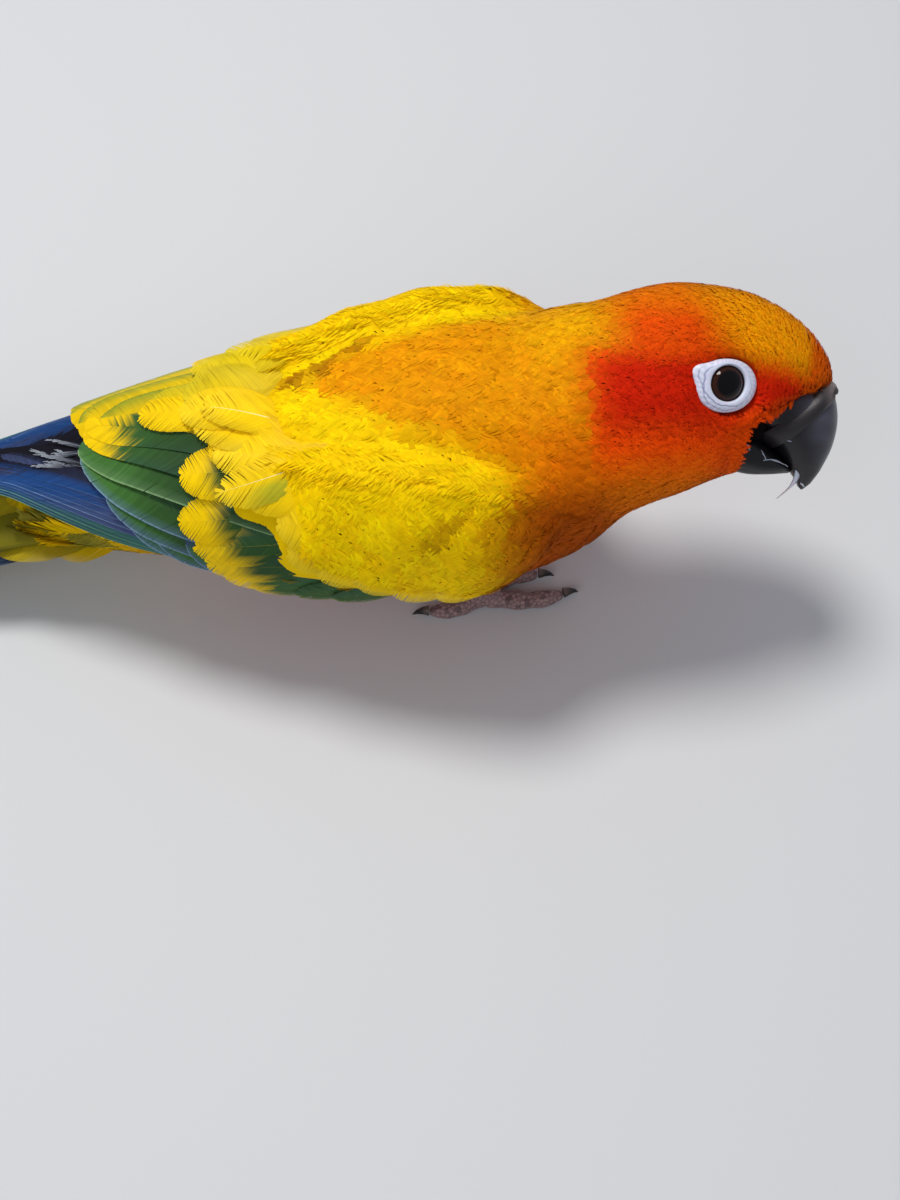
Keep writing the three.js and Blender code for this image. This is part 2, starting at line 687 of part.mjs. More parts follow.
// Legs and feet
for (const [side, out] of sides) {
  const at = (x, y, z) => new THREE.Vector3(x, out * (FOOT_OUT + y), z);
  const limb = (points, sides, grow = 0, squash = 1) => {
    const path = points.map(([x, y, z], i) => (i ? at(x, y, z) : at(x - grow, y, z - grow)));
    return tube(path, points.map((point) => point[3] + grow), sides, squash);
  };
  const thigh = limb(THIGH, 14);
  add(`thigh_${side}`, thigh.subtract(trunkSolid(GAP)), finishes.plumage);
  const shank = limb(SHANK, 10).subtract(limb(THIGH, 14, GAP));
  let foot = limb(SOLE, 12, 0, SOLE_FLAT);
  for (const toe of TOES) {
    const knots = toe.path.map(([x, y]) => at(x, y, 0));
    const curve = new THREE.CatmullRomCurve3(knots);
    const last = TOE_RINGS - 1;
    const path = [];
    const radii = [];
    for (let i = 0; i < TOE_RINGS; i += 1) {
      const t = i / last;
      const thick = toe.radius * (1 - TOE_TAPER * t);
      const pad = thick * (1 + TOE_PADS * Math.cos(t * 6 * Math.PI));
      const end = i === last ? 0.55 : 1;
      const p = curve.getPoint(t);
      p.z = thick * 0.86; // sunk a little, so that the sole is flat
      path.push(p);
      radii.push(pad * end);
    }
    foot = foot.add(tube(path, radii, 7));
    const run = path[last].clone().sub(path[last - 1]).setZ(0).normalize();
    const claw = [];
    const clawRadii = [];
    for (let i = 0; i < 4; i += 1) {
      const t = i / 3;
      const p = path[last].clone().addScaledVector(run, GAP + CLAW * t * (1 - 0.25 * t));
      p.z += 0.5 + 0.9 * t - 2.3 * t * t; // arched, with its tip down to the ground
      claw.push(p);
      clawRadii.push(CLAW_ROOT * (1 - t) + CLAW_TIP);
    }
    const horny = tube(claw, clawRadii, 7).trimByPlane([0, 0, 1], CLAW_CLEAR);
    add(`claw_${side}_${toe.name}`, horny, finishes.claw);
  }
  foot = onGround(foot);
  add(`shank_${side}`, shank.subtract(foot), finishes.foot);
  add(`foot_${side}`, foot, finishes.foot);
}

export default bird;
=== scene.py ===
# Sun conure, a small parrot, as a life-size still model for display: crouched on its feet, wings
# folded, the long tail laid out behind and the head rolled so that the right eye looks up.
# Lengths are in millimetres until a mesh is made, which is in metres like the frame.
import math

import bmesh
import bpy
import numpy as np
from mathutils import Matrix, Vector
from mathutils.bvhtree import BVHTree
from mathutils.kdtree import KDTree


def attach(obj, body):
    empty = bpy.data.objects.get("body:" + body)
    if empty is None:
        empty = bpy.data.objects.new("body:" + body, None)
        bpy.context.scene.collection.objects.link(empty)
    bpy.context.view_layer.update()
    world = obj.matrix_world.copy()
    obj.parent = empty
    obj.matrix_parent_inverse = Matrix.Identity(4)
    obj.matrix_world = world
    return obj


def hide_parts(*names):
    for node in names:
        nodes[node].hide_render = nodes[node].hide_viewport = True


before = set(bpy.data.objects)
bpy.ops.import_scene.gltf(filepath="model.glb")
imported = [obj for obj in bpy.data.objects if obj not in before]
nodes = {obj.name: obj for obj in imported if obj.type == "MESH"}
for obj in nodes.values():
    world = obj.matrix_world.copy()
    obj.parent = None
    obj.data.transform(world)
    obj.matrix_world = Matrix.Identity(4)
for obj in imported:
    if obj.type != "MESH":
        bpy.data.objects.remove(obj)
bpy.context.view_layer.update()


# Camera, floor and light. The camera looks down on the bird's right side at 60 degrees. A soft
# lamp hangs above, a little to its left, and a weak one fills in from its right.
LIT_POINT = (0.0, 0.0, 0.03)


def new_object(name, data):
    made = bpy.data.objects.new(name, data)
    bpy.context.scene.collection.objects.link(made)
    return made


camera_data = bpy.data.cameras.new("camera")
camera_data.sensor_width = 36
camera_data.lens = 43.5
camera = new_object("camera", camera_data)
camera.location = (0.0695, -0.160, 0.25981)
camera.rotation_euler = (math.radians(30), 0, 0)
bpy.context.scene.camera = camera
bpy.context.scene.view_settings.view_transform = "Standard"


def area_lamp(name, place, size, power, colour):
    lamp = bpy.data.lights.new(name, "AREA")
    lamp.shape = "DISK"
    lamp.size = size
    lamp.energy = power
    lamp.color = colour
    holder = new_object(name, lamp)
    holder.location = place
    aim = Vector(LIT_POINT) - Vector(place)
    holder.rotation_euler = aim.to_track_quat("-Z", "Y").to_euler()
    return holder


area_lamp("window_lamp", (-0.12, 0.23, 0.92), size=0.3, power=6.6, colour=(1.0, 0.98, 0.95))
fill_lamp = area_lamp("fill_lamp", (-0.35, -0.75, 0.75), size=0.9, power=2.6, colour=(0.93, 0.96, 1.0))
fill_lamp.visible_glossy = False

world = bpy.data.worlds.new("room")
world.use_nodes = True
room_light = world.node_tree.nodes["Background"].inputs
room_light["Color"].default_value = (0.86, 0.9, 1.0, 1)
room_light["Strength"].default_value = 0.36
bpy.context.scene.world = world

floor_shape = bmesh.new()
bmesh.ops.create_grid(floor_shape, x_segments=1, y_segments=1, size=3)
floor_mesh = bpy.data.meshes.new("floor")
floor_shape.to_mesh(floor_mesh)
floor = new_object("floor", floor_mesh)
floor_paint = bpy.data.materials.new("pale_floor")
floor_paint.use_nodes = True
floor_look = floor_paint.node_tree.nodes["Principled BSDF"].inputs
floor_look["Base Color"].default_value = (0.62, 0.63, 0.64, 1)
floor_look["Roughness"].default_value = 0.7
floor_mesh.materials.append(floor_paint)


# Skin: one closed surface over trunk, neck, head, thighs and the folded arms of the wings, as deep
# under the solids as the coat is thick. It is made from copies of the solids, run together and
# smoothed, and it carries the same markings as the feathers that grow from it.
MM = 0.001
PER_METRE = 1000
# Stations along the bird are counted from a point this far forward of the frame's origin.
FORWARD = 77.5
# Station, height of the middle, half width, reach up and down from the middle, lean in degrees.
TRUNK = np.array([
    (-86, 22.5, 10.5, 5.5, 6, 0), (-76, 24.5, 13, 8.5, 9, 0), (-58, 29.2, 17, 13, 14.5, 0),
    (-36, 34.5, 21.8, 19.5, 20, 0), (-14, 38, 24.6, 23.5, 24.5, 4), (0, 41, 24.8, 23.3, 26.5, 12),
    (11, 45.5, 22.4, 19.8, 23.5, 22),
])
# The bed that the folded wings lie on: the trunk, drawn out over the front of the tail.
BED = np.vstack([
    [(-144, 19, 4.8, 4.2, 4.2, 0), (-120, 22, 7, 6.4, 6.4, 0), (-98, 25, 9.6, 8.8, 8.6, 0),
     (-78, 28.2, 12.8, 11, 11.2, 0), (-57, 31.8, 17.4, 15.2, 15.6, 0)],
    TRUNK[3:],
])
BED_ENDS = (-144, 11)
# The pad of flesh of a wing's arm: station, its upper and lower angle from the back, thickness.
WING_PAD = np.array([
    (-66, 22, 88, 1.0), (-54, 20, 94, 2.2), (-36, 25, 103, 4.2), (-16, 35, 109, 5.2),
    (-2, 43, 107, 5.2), (8, 52, 96, 4.0), (13, 62, 82, 1.2),
])
PAD_ENDS = (-66, 13)
PAD_EDGE = 0.7
PAD_FOOT = -3.0
ARM_RINGS = 28
ARM_POINTS = 19
HEAD_AT = np.array([33.4 + FORWARD, 0, 54.8])
HEAD_ROLL = math.radians(46)
HEAD_SIZE = 1.045
EYE_AT = np.array([6, 13.1, 3])
COAT_DEPTH = 1.05
FACE_DEPTH = 0.45
SKIN_VOXEL = 0.0009


def from_head(p):
    """Points of the level head, its middle at the origin, carried to the rolled head's place."""
    y = p[..., 1] * math.cos(HEAD_ROLL) + p[..., 2] * math.sin(HEAD_ROLL)
    z = p[..., 2] * math.cos(HEAD_ROLL) - p[..., 1] * math.sin(HEAD_ROLL)
    return np.stack([p[..., 0], y, z], -1) * HEAD_SIZE + HEAD_AT


def in_head(p):
    q = (p - HEAD_AT) / HEAD_SIZE
    y = q[..., 1] * math.cos(HEAD_ROLL) - q[..., 2] * math.sin(HEAD_ROLL)
    z = q[..., 1] * math.sin(HEAD_ROLL) + q[..., 2] * math.cos(HEAD_ROLL)
    return np.stack([q[..., 0], y, z], -1)


def ramp(value, low, high):
    t = np.clip((value - low) / (high - low), 0, 1)
    return t * t * (3 - 2 * t)


def unit(v):
    return v / np.maximum(np.linalg.norm(v, axis=-1, keepdims=True), 1e-9)


def points_of(verts, scale=PER_METRE):
    return np.array([v.co[:] for v in verts]) * scale


def move_to(verts, points):
    for v, p in zip(verts, points):
        v.co = p * MM


def along(stations, x):
    """The stations' values at x, on smooth lines through them."""
    last = len(stations) - 1
    i = np.clip(np.searchsorted(stations[:, 0], x) - 1, 0, last - 1)
    before = stations[np.maximum(np.arange(last + 1) - 1, 0)]
    behind = stations[np.minimum(np.arange(last + 1) + 1, last)]
    slope = (behind - before) / (behind[:, :1] - before[:, :1])
    a, b = stations[i], stations[i + 1]
    span = (b[..., 0] - a[..., 0])[..., None]
    t = (x - a[..., 0])[..., None] / span
    rise = t * t * (3 - 2 * t)
    return a * (1 - rise) + b * rise + span * t * (1 - t) * (slope[i] * (1 - t) - slope[i + 1] * t)


def section_point(stations, x, turn, height):
    """A point on the section at x, turned by so many degrees from its top, lifted by height."""
    at = along(stations, x)
    angle = np.radians(turn)
    lift = (np.where(np.cos(angle) > 0, at[..., 3], at[..., 4]) + height) * np.cos(angle)
    lean = np.radians(at[..., 5])
    y = (at[..., 2] + height) * np.sin(angle)
    return np.stack([x - lift * np.sin(lean) + FORWARD, y, at[..., 1] + lift * np.cos(lean)], -1)


def pad_height(x, turn):
    """How high the arm's pad stands over the bed, with two low mounds of muscle."""
    at = along(WING_PAD, np.clip(x, *PAD_ENDS))
    share = np.clip((turn - at[..., 1]) / (at[..., 2] - at[..., 1]), 0, 1)
    full = np.sqrt(np.maximum(1 - (2 * share - 1) ** 4, 0))
    mounds = 0.5 * np.sin(0.36 * x + 0.085 * turn + 1.2) + 0.3 * np.sin(0.2 * x - 0.14 * turn)
    return PAD_EDGE + (at[..., 3] - 0.4 + mounds) * full


def turn_outwards(shape):
    """Faces turned outwards, judged by where the points are now."""
    shape.normal_update()
    bmesh.ops.recalc_face_normals(shape, faces=shape.faces)


def bridge_rings(shape, rings):
    """Closed rings of points joined one to the next, with both ends filled."""
    edges = []
    for ring in rings:
        made = bmesh.ops.create_circle(shape, segments=len(ring), radius=1)["verts"]
        move_to(made, ring)
        edges.append(list({e for v in made for e in v.link_edges}))
    for a, b in zip(edges, edges[1:]):
        bmesh.ops.bridge_loops(shape, edges=a + b)
    for end in (edges[0], edges[-1]):
        bmesh.ops.contextual_create(shape, geom=end)
    turn_outwards(shape)


def beyond_face(h):
    """How far a point of the head lies ahead of the line where feathers end and the bill begins."""
    edge = np.interp(h[..., 2], [-14, -11.4, -8, -6.1, -4.3, -3.1, -1.1, 1.1, 2.6],
                     [7.5, 7.6, 7.7, 7.9, 8.9, 10.3, 13.8, 17.8, 26])
    return h[..., 0] - edge


def copies_of(names):
    shape = bmesh.new()
    for name in names:
        shape.from_mesh(nodes[name].data)
    return shape


def smooth(shape, rounds):
    for _ in range(rounds):
        bmesh.ops.smooth_vert(shape, verts=shape.verts, factor=0.5, use_axis_x=True,
                              use_axis_y=True, use_axis_z=True)


def run_together(shape, voxel, rounds):
    """The closed solids of a shape run together into one even, rounded surface."""
    mesh = bpy.data.meshes.new("rounded")
    shape.to_mesh(mesh)
    holder = new_object("rounded", mesh)
    remesh = holder.modifiers.new("even", "REMESH")
    remesh.mode = "VOXEL"
    remesh.voxel_size = voxel
    bpy.context.view_layer.update()
    ready = holder.evaluated_get(bpy.context.evaluated_depsgraph_get())
    whole = bpy.data.meshes.new_from_object(ready)
    bpy.data.objects.remove(holder)
    even = bmesh.new()
    even.from_mesh(whole)
    smooth(even, rounds)
    even.normal_update()
    return even


flesh = copies_of(("trunk", "neck", "head", "thigh_left", "thigh_right"))
bmesh.ops.remove_doubles(flesh, verts=flesh.verts, dist=1e-6)
for side in (1, -1):
    rings = []
    for x in np.linspace(-65, 12.4, ARM_RINGS):
        _, upper, lower, _ = along(WING_PAD, np.array(x))
        turn = np.linspace(upper, lower, ARM_POINTS)
        here = np.full(ARM_POINTS, x)
        over = section_point(BED, here, side * turn, pad_height(x, turn))
        under = section_point(BED, here, side * turn[::-1], np.full(ARM_POINTS, PAD_FOOT))
        rings.append(np.concatenate([over, under]))
    arm = bmesh.new()
    bridge_rings(arm, rings)
    arm_mesh = bpy.data.meshes.new("arm")
    arm.to_mesh(arm_mesh)
    flesh.from_mesh(arm_mesh)
flesh = run_together(flesh, SKIN_VOXEL, 6)

# The skin is sunk by the coat's depth: less on the face and crown, more below the rump.
at = points_of(flesh.verts)
h = in_head(at)
crown = ramp(h[:, 2], 4, 13) * ramp(h[:, 0], -30, -14) * ramp(-h[:, 0], -8, 3)
depth = COAT_DEPTH + (FACE_DEPTH - COAT_DEPTH) * np.clip((at[:, 0] - HEAD_AT[0]) / 14 + 1, 0, 1)
depth = depth + 1.3 * ramp(FORWARD - at[:, 0], 48, 62) * ramp(-at[:, 2], -30, -23)
for v, d in zip(flesh.verts, depth - 0.9 * crown):
    v.co -= v.normal * MM * d
smooth(flesh, 3)

# Ahead of the face it is drawn in, so that it stays inside the bill.
beaked = in_head(points_of(flesh.verts))
inside_bill = ramp(beyond_face(beaked), -0.3, 1.6)[:, None]
beaked = beaked * (1 - inside_bill * np.array([0, 0.42, 0])) - inside_bill * np.array([1.5, 0, 0])
move_to(flesh.verts, from_head(beaked))
smooth(flesh, 2)
bmesh.ops.triangulate(flesh, faces=flesh.faces)
flesh.normal_update()
flesh.verts.index_update()
skin_points = points_of(flesh.verts)
skin_normals = np.array([v.normal[:] for v in flesh.verts])
skin_faces = np.array([[v.index for v in f.verts] for f in flesh.faces])
skin_tree = BVHTree.FromPolygons(skin_points.tolist(), skin_faces.tolist())
face_normals = unit(skin_normals[skin_faces].mean(1))


def on_skin(points):
    """The nearest point of the skin and its outward direction, for each point."""
    place = np.empty_like(points)
    out = np.empty_like(points)
    for i, p in enumerate(points):
        found, _, face, _ = skin_tree.find_nearest(p)
        place[i] = found
        out[i] = face_normals[face]
    return place, out


# Markings: golden orange back and neck, orange below, deep red cheeks round the eyes, a red patch
# on the crown, a yellow forehead and yellow wings, with painted shade in a few hollows. They are
# worked out from a point's place on the bird, and skin and small feathers both take their colour
# from them.
def paint(red, green, blue):
    c = np.array([red, green, blue]) / 255
    return np.where(c <= 0.04045, c / 12.92, ((c + 0.055) / 1.055) ** 2.4)


YELLOW = paint(250, 208, 2)
GOLDEN = paint(232, 150, 2)
ORANGE = paint(232, 116, 3)
BELLY = paint(206, 84, 6)
CHEEK = paint(208, 34, 6)
CHEEK_EDGE = paint(232, 76, 4)
CROWN = paint(228, 70, 4)
FOREHEAD = paint(246, 160, 4)
RUMP = paint(226, 172, 8)
# Painted shade, for the groove beside the back and the dips ahead of the right wing.
GROOVE_SHADE = paint(158, 84, 4)
OLIVE = paint(112, 112, 36)
GAPE_SHADE = paint(18, 13, 15)
# Angle down the right side at which shade is painted on the coat ahead of the wing.
FOLD_TURN = 62


def mixed(a, b, share):
    share = np.asarray(share)[..., None]
    return a * (1 - share) + b * share


def wing_spot(p):
    """Where a point is on the wings' bed: station along the bird, angle down from the back."""
    x = p[..., 0] - FORWARD
    station = x
    for _ in range(4):
        at = along(BED, np.clip(station, *BED_ENDS))
        lean = np.radians(at[..., 5])
        lift = (p[..., 2] - at[..., 1]) / np.cos(lean)
        station = x + lift * np.sin(lean)
    high = lift / np.where(lift > 0, at[..., 3], at[..., 4])
    return station, np.degrees(np.arctan2(np.abs(p[..., 1]) / at[..., 2], high))


def plumage(p):
    """The coat's colour at each point."""
    h = in_head(p)
    hx, hy, hz = h[..., 0], np.abs(h[..., 1]), h[..., 2]
    x, turn = wing_spot(p)
    on_right = p[..., 1] < 0
    # Belly, flank, back and rump.
    colour = mixed(BELLY, ORANGE, ramp(p[..., 2], 10, 26))
    colour = mixed(colour, GOLDEN, ramp(p[..., 2], 30, 46))
    colour = mixed(colour, RUMP, ramp(-x, 50, 70))
    # The yellow of the wings ends along a line between back and arm, which differs by side.
    right = np.interp(x, [-38, -33, -26, -15, -2, 8], [-12, -8, 5, 24, 36, 50])
    left = np.interp(x, [-37, -33, -30, -26, -15, 8, 12], [-12, 4, 12, 22, 26, 32, 37])
    inside = turn - np.where(on_right, right, left)
    low = along(WING_PAD, np.clip(x, *PAD_ENDS))[..., 2] + 5 - turn
    wing = ramp(inside, -9, 11) * ramp(low, -4, 6) * ramp(-x, -19, -3) * ramp(x, -72, -60)
    colour = mixed(colour, YELLOW, wing)
    # Painted shade along the groove between back and left wing, and in two dips ahead of the right one.
    line = np.interp(x, [-46, -37, -30, -26, -19], [11, 12, 16, 27, 30])
    groove = ramp(-np.abs(turn - line), -7, -2) * ramp(x, -43, -36) * ramp(-x, 19, 25) * (p[..., 1] > 0)
    colour = mixed(colour, GROOVE_SHADE, 0.8 * groove)
    below = turn - FOLD_TURN
    dip = np.hypot((x + 6 + 0.65 * below) / 3.6, below / 10)
    hollow = np.hypot((x - 4 + 0.9 * below) / 4, below / 7)
    shade = np.maximum(ramp(-dip, -1.3, -0.3), 0.8 * ramp(-hollow, -1.3, -0.3)) * on_right
    colour = mixed(colour, GROOVE_SHADE, 0.55 * shade)
    # Painted shade on the breast and the lower sides ahead of the wings, and olive and yellow tufts at the
    # sides of the rump and the vent.
    breast_shade = ramp(x, -8, 11) * ramp(turn, 48, 74) * ramp(-turn, -150, -120)
    colour = mixed(colour, BELLY * 0.66, 0.8 * breast_shade)
    vent = ramp(-x, 64, 76) * ramp(turn, 30, 52)
    tufts = ramp(np.sin(0.42 * x + 0.05 * turn + 1.4), 0.35, 0.8)
    colour = mixed(colour, mixed(OLIVE * 1.3, YELLOW * 0.85, tufts), 0.92 * vent)
    # Neck and nape, and painted shade under the throat.
    neck = ramp(hx, -36, -20)
    nape = mixed(ORANGE, GOLDEN, ramp(hz, -10, 4))
    nape = mixed(nape, YELLOW, 0.25 * ramp(hz, 4, 10) * ramp(-hx, 12, 20))
    colour = mixed(colour, nape, neck)
    # Painted shade: the throat is darker below the head.
    colour = mixed(colour, BELLY * 0.55, 0.75 * ramp(-hz, 11, 19) * ramp(-hx, 8, 16) * neck)
    # Forehead, crown and cheek.
    colour = mixed(colour, FOREHEAD, ramp(hx, -1, 6) * ramp(hz, 5, 9))
    crown = ramp(hx, -17, -8) * ramp(-hx - 0.35 * hz, -13, -3) * ramp(hz, 3, 8)
    colour = mixed(colour, CROWN, crown * (0.95 - 0.45 * ramp(hz, 12, 18)))
    brow = hz + 0.33 * np.maximum(hx - 5, 0)
    cheek = ramp(hx + 0.12 * hz, -21, -14.5) * ramp(-brow, -11, -6.5) * ramp(hz, -15, -6)
    colour = mixed(colour, CHEEK_EDGE, cheek * ramp(hy, 5.5, 9))
    deep = ramp(hx, -19, -12) * ramp(-brow, -9.5, -5.5) * ramp(hz, -9, 1) * ramp(hy, 7, 10)
    colour = mixed(colour, CHEEK, deep)
    # Painted light: the jaw, which lies in shade under the eye, is painted brighter.
    jaw_light = ramp(-hz, 2, 7) * ramp(hz, -14, -9) * ramp(hx, -20, -12)
    colour = colour * (1 + 0.35 * jaw_light[..., None])
    # An orange-red edge where the feathers meet the bill.
    beside = ramp(beyond_face(h), -6, -1.5) * ramp(-hz, -7, -2)
    return mixed(colour, CHEEK_EDGE, 0.75 * np.maximum(beside, ramp(hx - 0.15 * hz, 16.5, 19)))


def set_tint(mesh, colours):
    layer = mesh.color_attributes.new("tint", "FLOAT_COLOR", "POINT")
    rgba = np.ones((len(mesh.vertices), 4), np.float32)
    rgba[:, :3] = colours
    layer.data.foreach_set("color", rgba.ravel())


# One shader group gives feathers, skin, horn and scales their fine uneven colour. The pits of
# skin and horn are so deep, in metres.
PIT_DEPTH = 0.0001
uneven = bpy.data.node_groups.new("uneven_colour", "ShaderNodeTree")
for socket, way, kind in (("Color", "INPUT", "Color"), ("Scale", "INPUT", "Float"),
                          ("Amount", "INPUT", "Float"), ("Color", "OUTPUT", "Color"),
                          ("Height", "OUTPUT", "Float")):
    uneven.interface.new_socket(socket, in_out=way, socket_type="NodeSocket" + kind)
group_in = uneven.nodes.new("NodeGroupInput")
group_out = uneven.nodes.new("NodeGroupOutput")
spot_place = uneven.nodes.new("ShaderNodeTexCoord")
spots = uneven.nodes.new("ShaderNodeTexNoise")
spots.inputs["Detail"].default_value = 3
darker = uneven.nodes.new("ShaderNodeMapRange")
darker.inputs["From Min"].default_value = 0.3
darker.inputs["From Max"].default_value = 0.7
darker.inputs["To Max"].default_value = 1.0
shaded = uneven.nodes.new("ShaderNodeMix")
shaded.data_type = "RGBA"
shaded.blend_type = "MULTIPLY"
shaded.inputs["B"].default_value = (0.7, 0.55, 0.5, 1)
part = uneven.nodes.new("ShaderNodeMath")
part.operation = "MULTIPLY"
for start, end in (
    (spot_place.outputs["Object"], spots.inputs["Vector"]),
    (group_in.outputs["Scale"], spots.inputs["Scale"]),
    (spots.outputs["Fac"], darker.inputs["Value"]),
    (darker.outputs["Result"], part.inputs[0]),
    (group_in.outputs["Amount"], part.inputs[1]),
    (part.outputs["Value"], shaded.inputs["Factor"]),
    (group_in.outputs["Color"], shaded.inputs["A"]),
    (shaded.outputs["Result"], group_out.inputs["Color"]),
    (spots.outputs["Fac"], group_out.inputs["Height"]),
):
    uneven.links.new(start, end)


def tinted_finish(name, sockets, scale=0, amount=0, bump=0):
    """A finish in the piece's own tint, made uneven by the group where a scale is given, and
    finely pitted where a bump is."""
    finish = bpy.data.materials.new(name)
    finish.use_nodes = True
    tree = finish.node_tree
    shader = tree.nodes["Principled BSDF"]
    for socket, value in sockets.items():
        shader.inputs[socket].default_value = value
    tint = tree.nodes.new("ShaderNodeAttribute")
    tint.attribute_name = "tint"
    colour = tint.outputs["Color"]
    if scale:
        varied = tree.nodes.new("ShaderNodeGroup")
        varied.node_tree = uneven
        varied.inputs["Scale"].default_value = scale
        varied.inputs["Amount"].default_value = amount
        tree.links.new(colour, varied.inputs["Color"])
        colour = varied.outputs["Color"]
    if bump:
        pores = tree.nodes.new("ShaderNodeBump")
        pores.inputs["Strength"].default_value = bump
        pores.inputs["Distance"].default_value = PIT_DEPTH
        tree.links.new(varied.outputs["Height"], pores.inputs["Height"])
        tree.links.new(pores.outputs["Normal"], shader.inputs["Normal"])
    tree.links.new(colour, shader.inputs["Base Color"])
    return finish


def new_piece(name, mesh, finish, slot, *stands_for):
    mesh.materials.append(finish)
    piece = new_object(name, mesh)
    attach(piece, "root")
    if stands_for:
        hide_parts(*stands_for)
    return piece


def solid_piece(name, shape, finish, slot, *stands_for):
    mesh = bpy.data.meshes.new(name)
    shape.to_mesh(mesh)
    mesh.shade_smooth()
    return new_piece(name, mesh, finish, slot, *stands_for)


body_finish = tinted_finish("body_feathers", {"Roughness": 0.7, "Specular IOR Level": 0.04}, 260, 0.14)
skin = solid_piece("skin", flesh, body_finish, "plumage_body",
                   "trunk", "neck", "head", "thigh_left", "thigh_right")
h = in_head(skin_points)
# Painted shade: the skin at the corner of the mouth, where bill meets face, is near black.
gape_shade = ramp(beyond_face(h), -0.5, 0.3) * ramp(-h[:, 2], -1, 0.5) * ramp(h[:, 2], -11, -9)
set_tint(skin.data, mixed(plumage(skin_points) * 0.92, GAPE_SHADE, gape_shade))


# Body coat: contour feathers of the back, rump, breast, belly, flanks and thighs. Each one is a
# real vane of separate barbs, rooted in the skin and laid backwards over the next.
BODY_TRIES = 90000
STOPS = 4
# Stations, counted backwards: where the rump begins to turn down, where its feathers leave the
# skin and stand free over the tail, and where the body's coat ends.
RUMP_TURNS = (66, 76)
RUMP_FREE = 71
COAT_END = 82.5
HEAD_START = -14
ROOT_DEPTH = 0.3
# Feathers part round an eye within this distance, and near the bill run out from its middle.
EYE_PARTING = 5.4
BILL_MIDDLE = np.array([15.0, 0, -5])
# How far a feather's way strays from the coat's, and how unevenly its barbs lie.
STRAY = 0.13
BARB_UNEVEN = 0.015
# On the flat map: the size of one feather's patch, the trunk's length, and a little over a turn.
FLAT_PATCH = 0.003
FLAT_LENGTH = 150
FLAT_TURN = 6.4


def outline(s, base, blunt):
    rise = base + (1 - base) * np.sin(np.clip(s / blunt, 0, 1) * math.pi / 2)
    end = np.clip((s - blunt) / (1 - blunt), 0, 1)
    return rise * np.sqrt(1 - end ** 2)


def vane(barbs, steps, sweep=0.3, base=0.45, blunt=0.6, fray=0.5, outer=1.0):
    """A feather's blade as barbs: s runs from root to tip, q across from -1 to 1."""
    f = np.array(steps)
    width = np.interp(f, [0, 0.6, 1], [1.08, 1.06, 1 - fray])
    side, i, j, edge = np.meshgrid([-1, 1], np.arange(barbs), np.arange(len(f)), [-1, 1], indexing="ij")
    a = np.clip((i + 0.5 + edge * width[j] * 0.5) / barbs, 0, 1)
    reach = sweep + (1 - sweep) * a
    bend = f[j] ** 1.25
    s = 0.95 * a * (1 - bend) + reach * bend
    q = side * outline(reach, base, blunt) * f[j] * np.where(side > 0, outer, 1)
    index = np.arange(s.size).reshape(s.shape)
    corners = [index[:, :, :-1, 0], index[:, :, :-1, 1], index[:, :, 1:, 1], index[:, :, 1:, 0]]
    quads = np.stack(corners, -1)
    quads[0] = quads[0][..., ::-1].copy()
    barb = np.where(side > 0, barbs, 0) + i
    return {
        "s": s.ravel(), "q": q.ravel(), "f": f[j].ravel(), "barb": barb.ravel(),
        "edge": (side * f[j]).ravel(), "faces": quads.reshape(-1, 4), "barbs": 2 * barbs,
    }


def joined_piece(name, points, faces, tint, bake, finish, slot, *stands_for, facing=None):
    """Many vanes in one mesh, with their tints, their flat map and, if given, their normals."""
    mesh = bpy.data.meshes.new(name)
    mesh.vertices.add(len(points))
    mesh.vertices.foreach_set("co", (points * MM).astype(np.float32).ravel())
    mesh.loops.add(faces.size)
    mesh.loops.foreach_set("vertex_index", faces.astype(np.int32).ravel())
    mesh.polygons.add(len(faces))
    mesh.polygons.foreach_set("loop_start", np.arange(len(faces), dtype=np.int32) * 4)
    mesh.update(calc_edges=True)
    mesh.shade_smooth()
    if facing is not None:
        mesh.normals_split_custom_set_from_vertices(facing)
    set_tint(mesh, tint)
    spread = mesh.uv_layers.new(name="OFBake")
    spread.data.foreach_set("uv", bake[faces.ravel()].astype(np.float32).ravel())
    return new_piece(name, mesh, finish, slot, *stands_for)


def lie(p):
    """The way the coat lies: backwards from the bill, parting round each eye, down on the thighs."""
    h = in_head(p)
    back = np.zeros_like(p)
    back[:, 0] = -1
    bill_base = from_head(BILL_MIDDLE)
    near_bill = ramp(h[:, 0], -8, 9)[:, None]
    way = unit(back * (1 - near_bill) + unit(p - bill_base) * near_bill)
    for side in (-1, 1):
        off = p - from_head(EYE_AT * (1, side, 1))
        far = np.linalg.norm(off, axis=1)
        out = off / np.maximum(far, 0.1)[:, None]
        turn = (np.minimum(EYE_PARTING / np.maximum(far, 0.1), 1) ** 2)[:, None]
        way = unit(way * (1 + turn) - 2 * turn * (way * out).sum(1)[:, None] * out)
    x = p[:, 0] - FORWARD
    thigh = ramp(x, -16, -10) * ramp(-x, -2, 2) * ramp(-p[:, 2], -22, -16) * ramp(np.abs(p[:, 1]), 4, 8)
    return unit(way + thigh[:, None] * np.array([0.2, 0, -1.4]))


def search_tree(points):
    tree = KDTree(len(points))
    for i, p in enumerate(points):
        tree.insert(p, i)
    tree.balance()
    return tree


def spaced(points, gaps, order):
    """The points in that order, without each that lies within the gap of one already kept."""
    tree = search_tree(points)
    free = np.ones(len(points), bool)
    kept = []
    for i in order:
        if free[i]:
            kept.append(i)
            for _, k, _ in tree.find_range(points[i], gaps[i]):
                free[k] = False
    return points[kept]


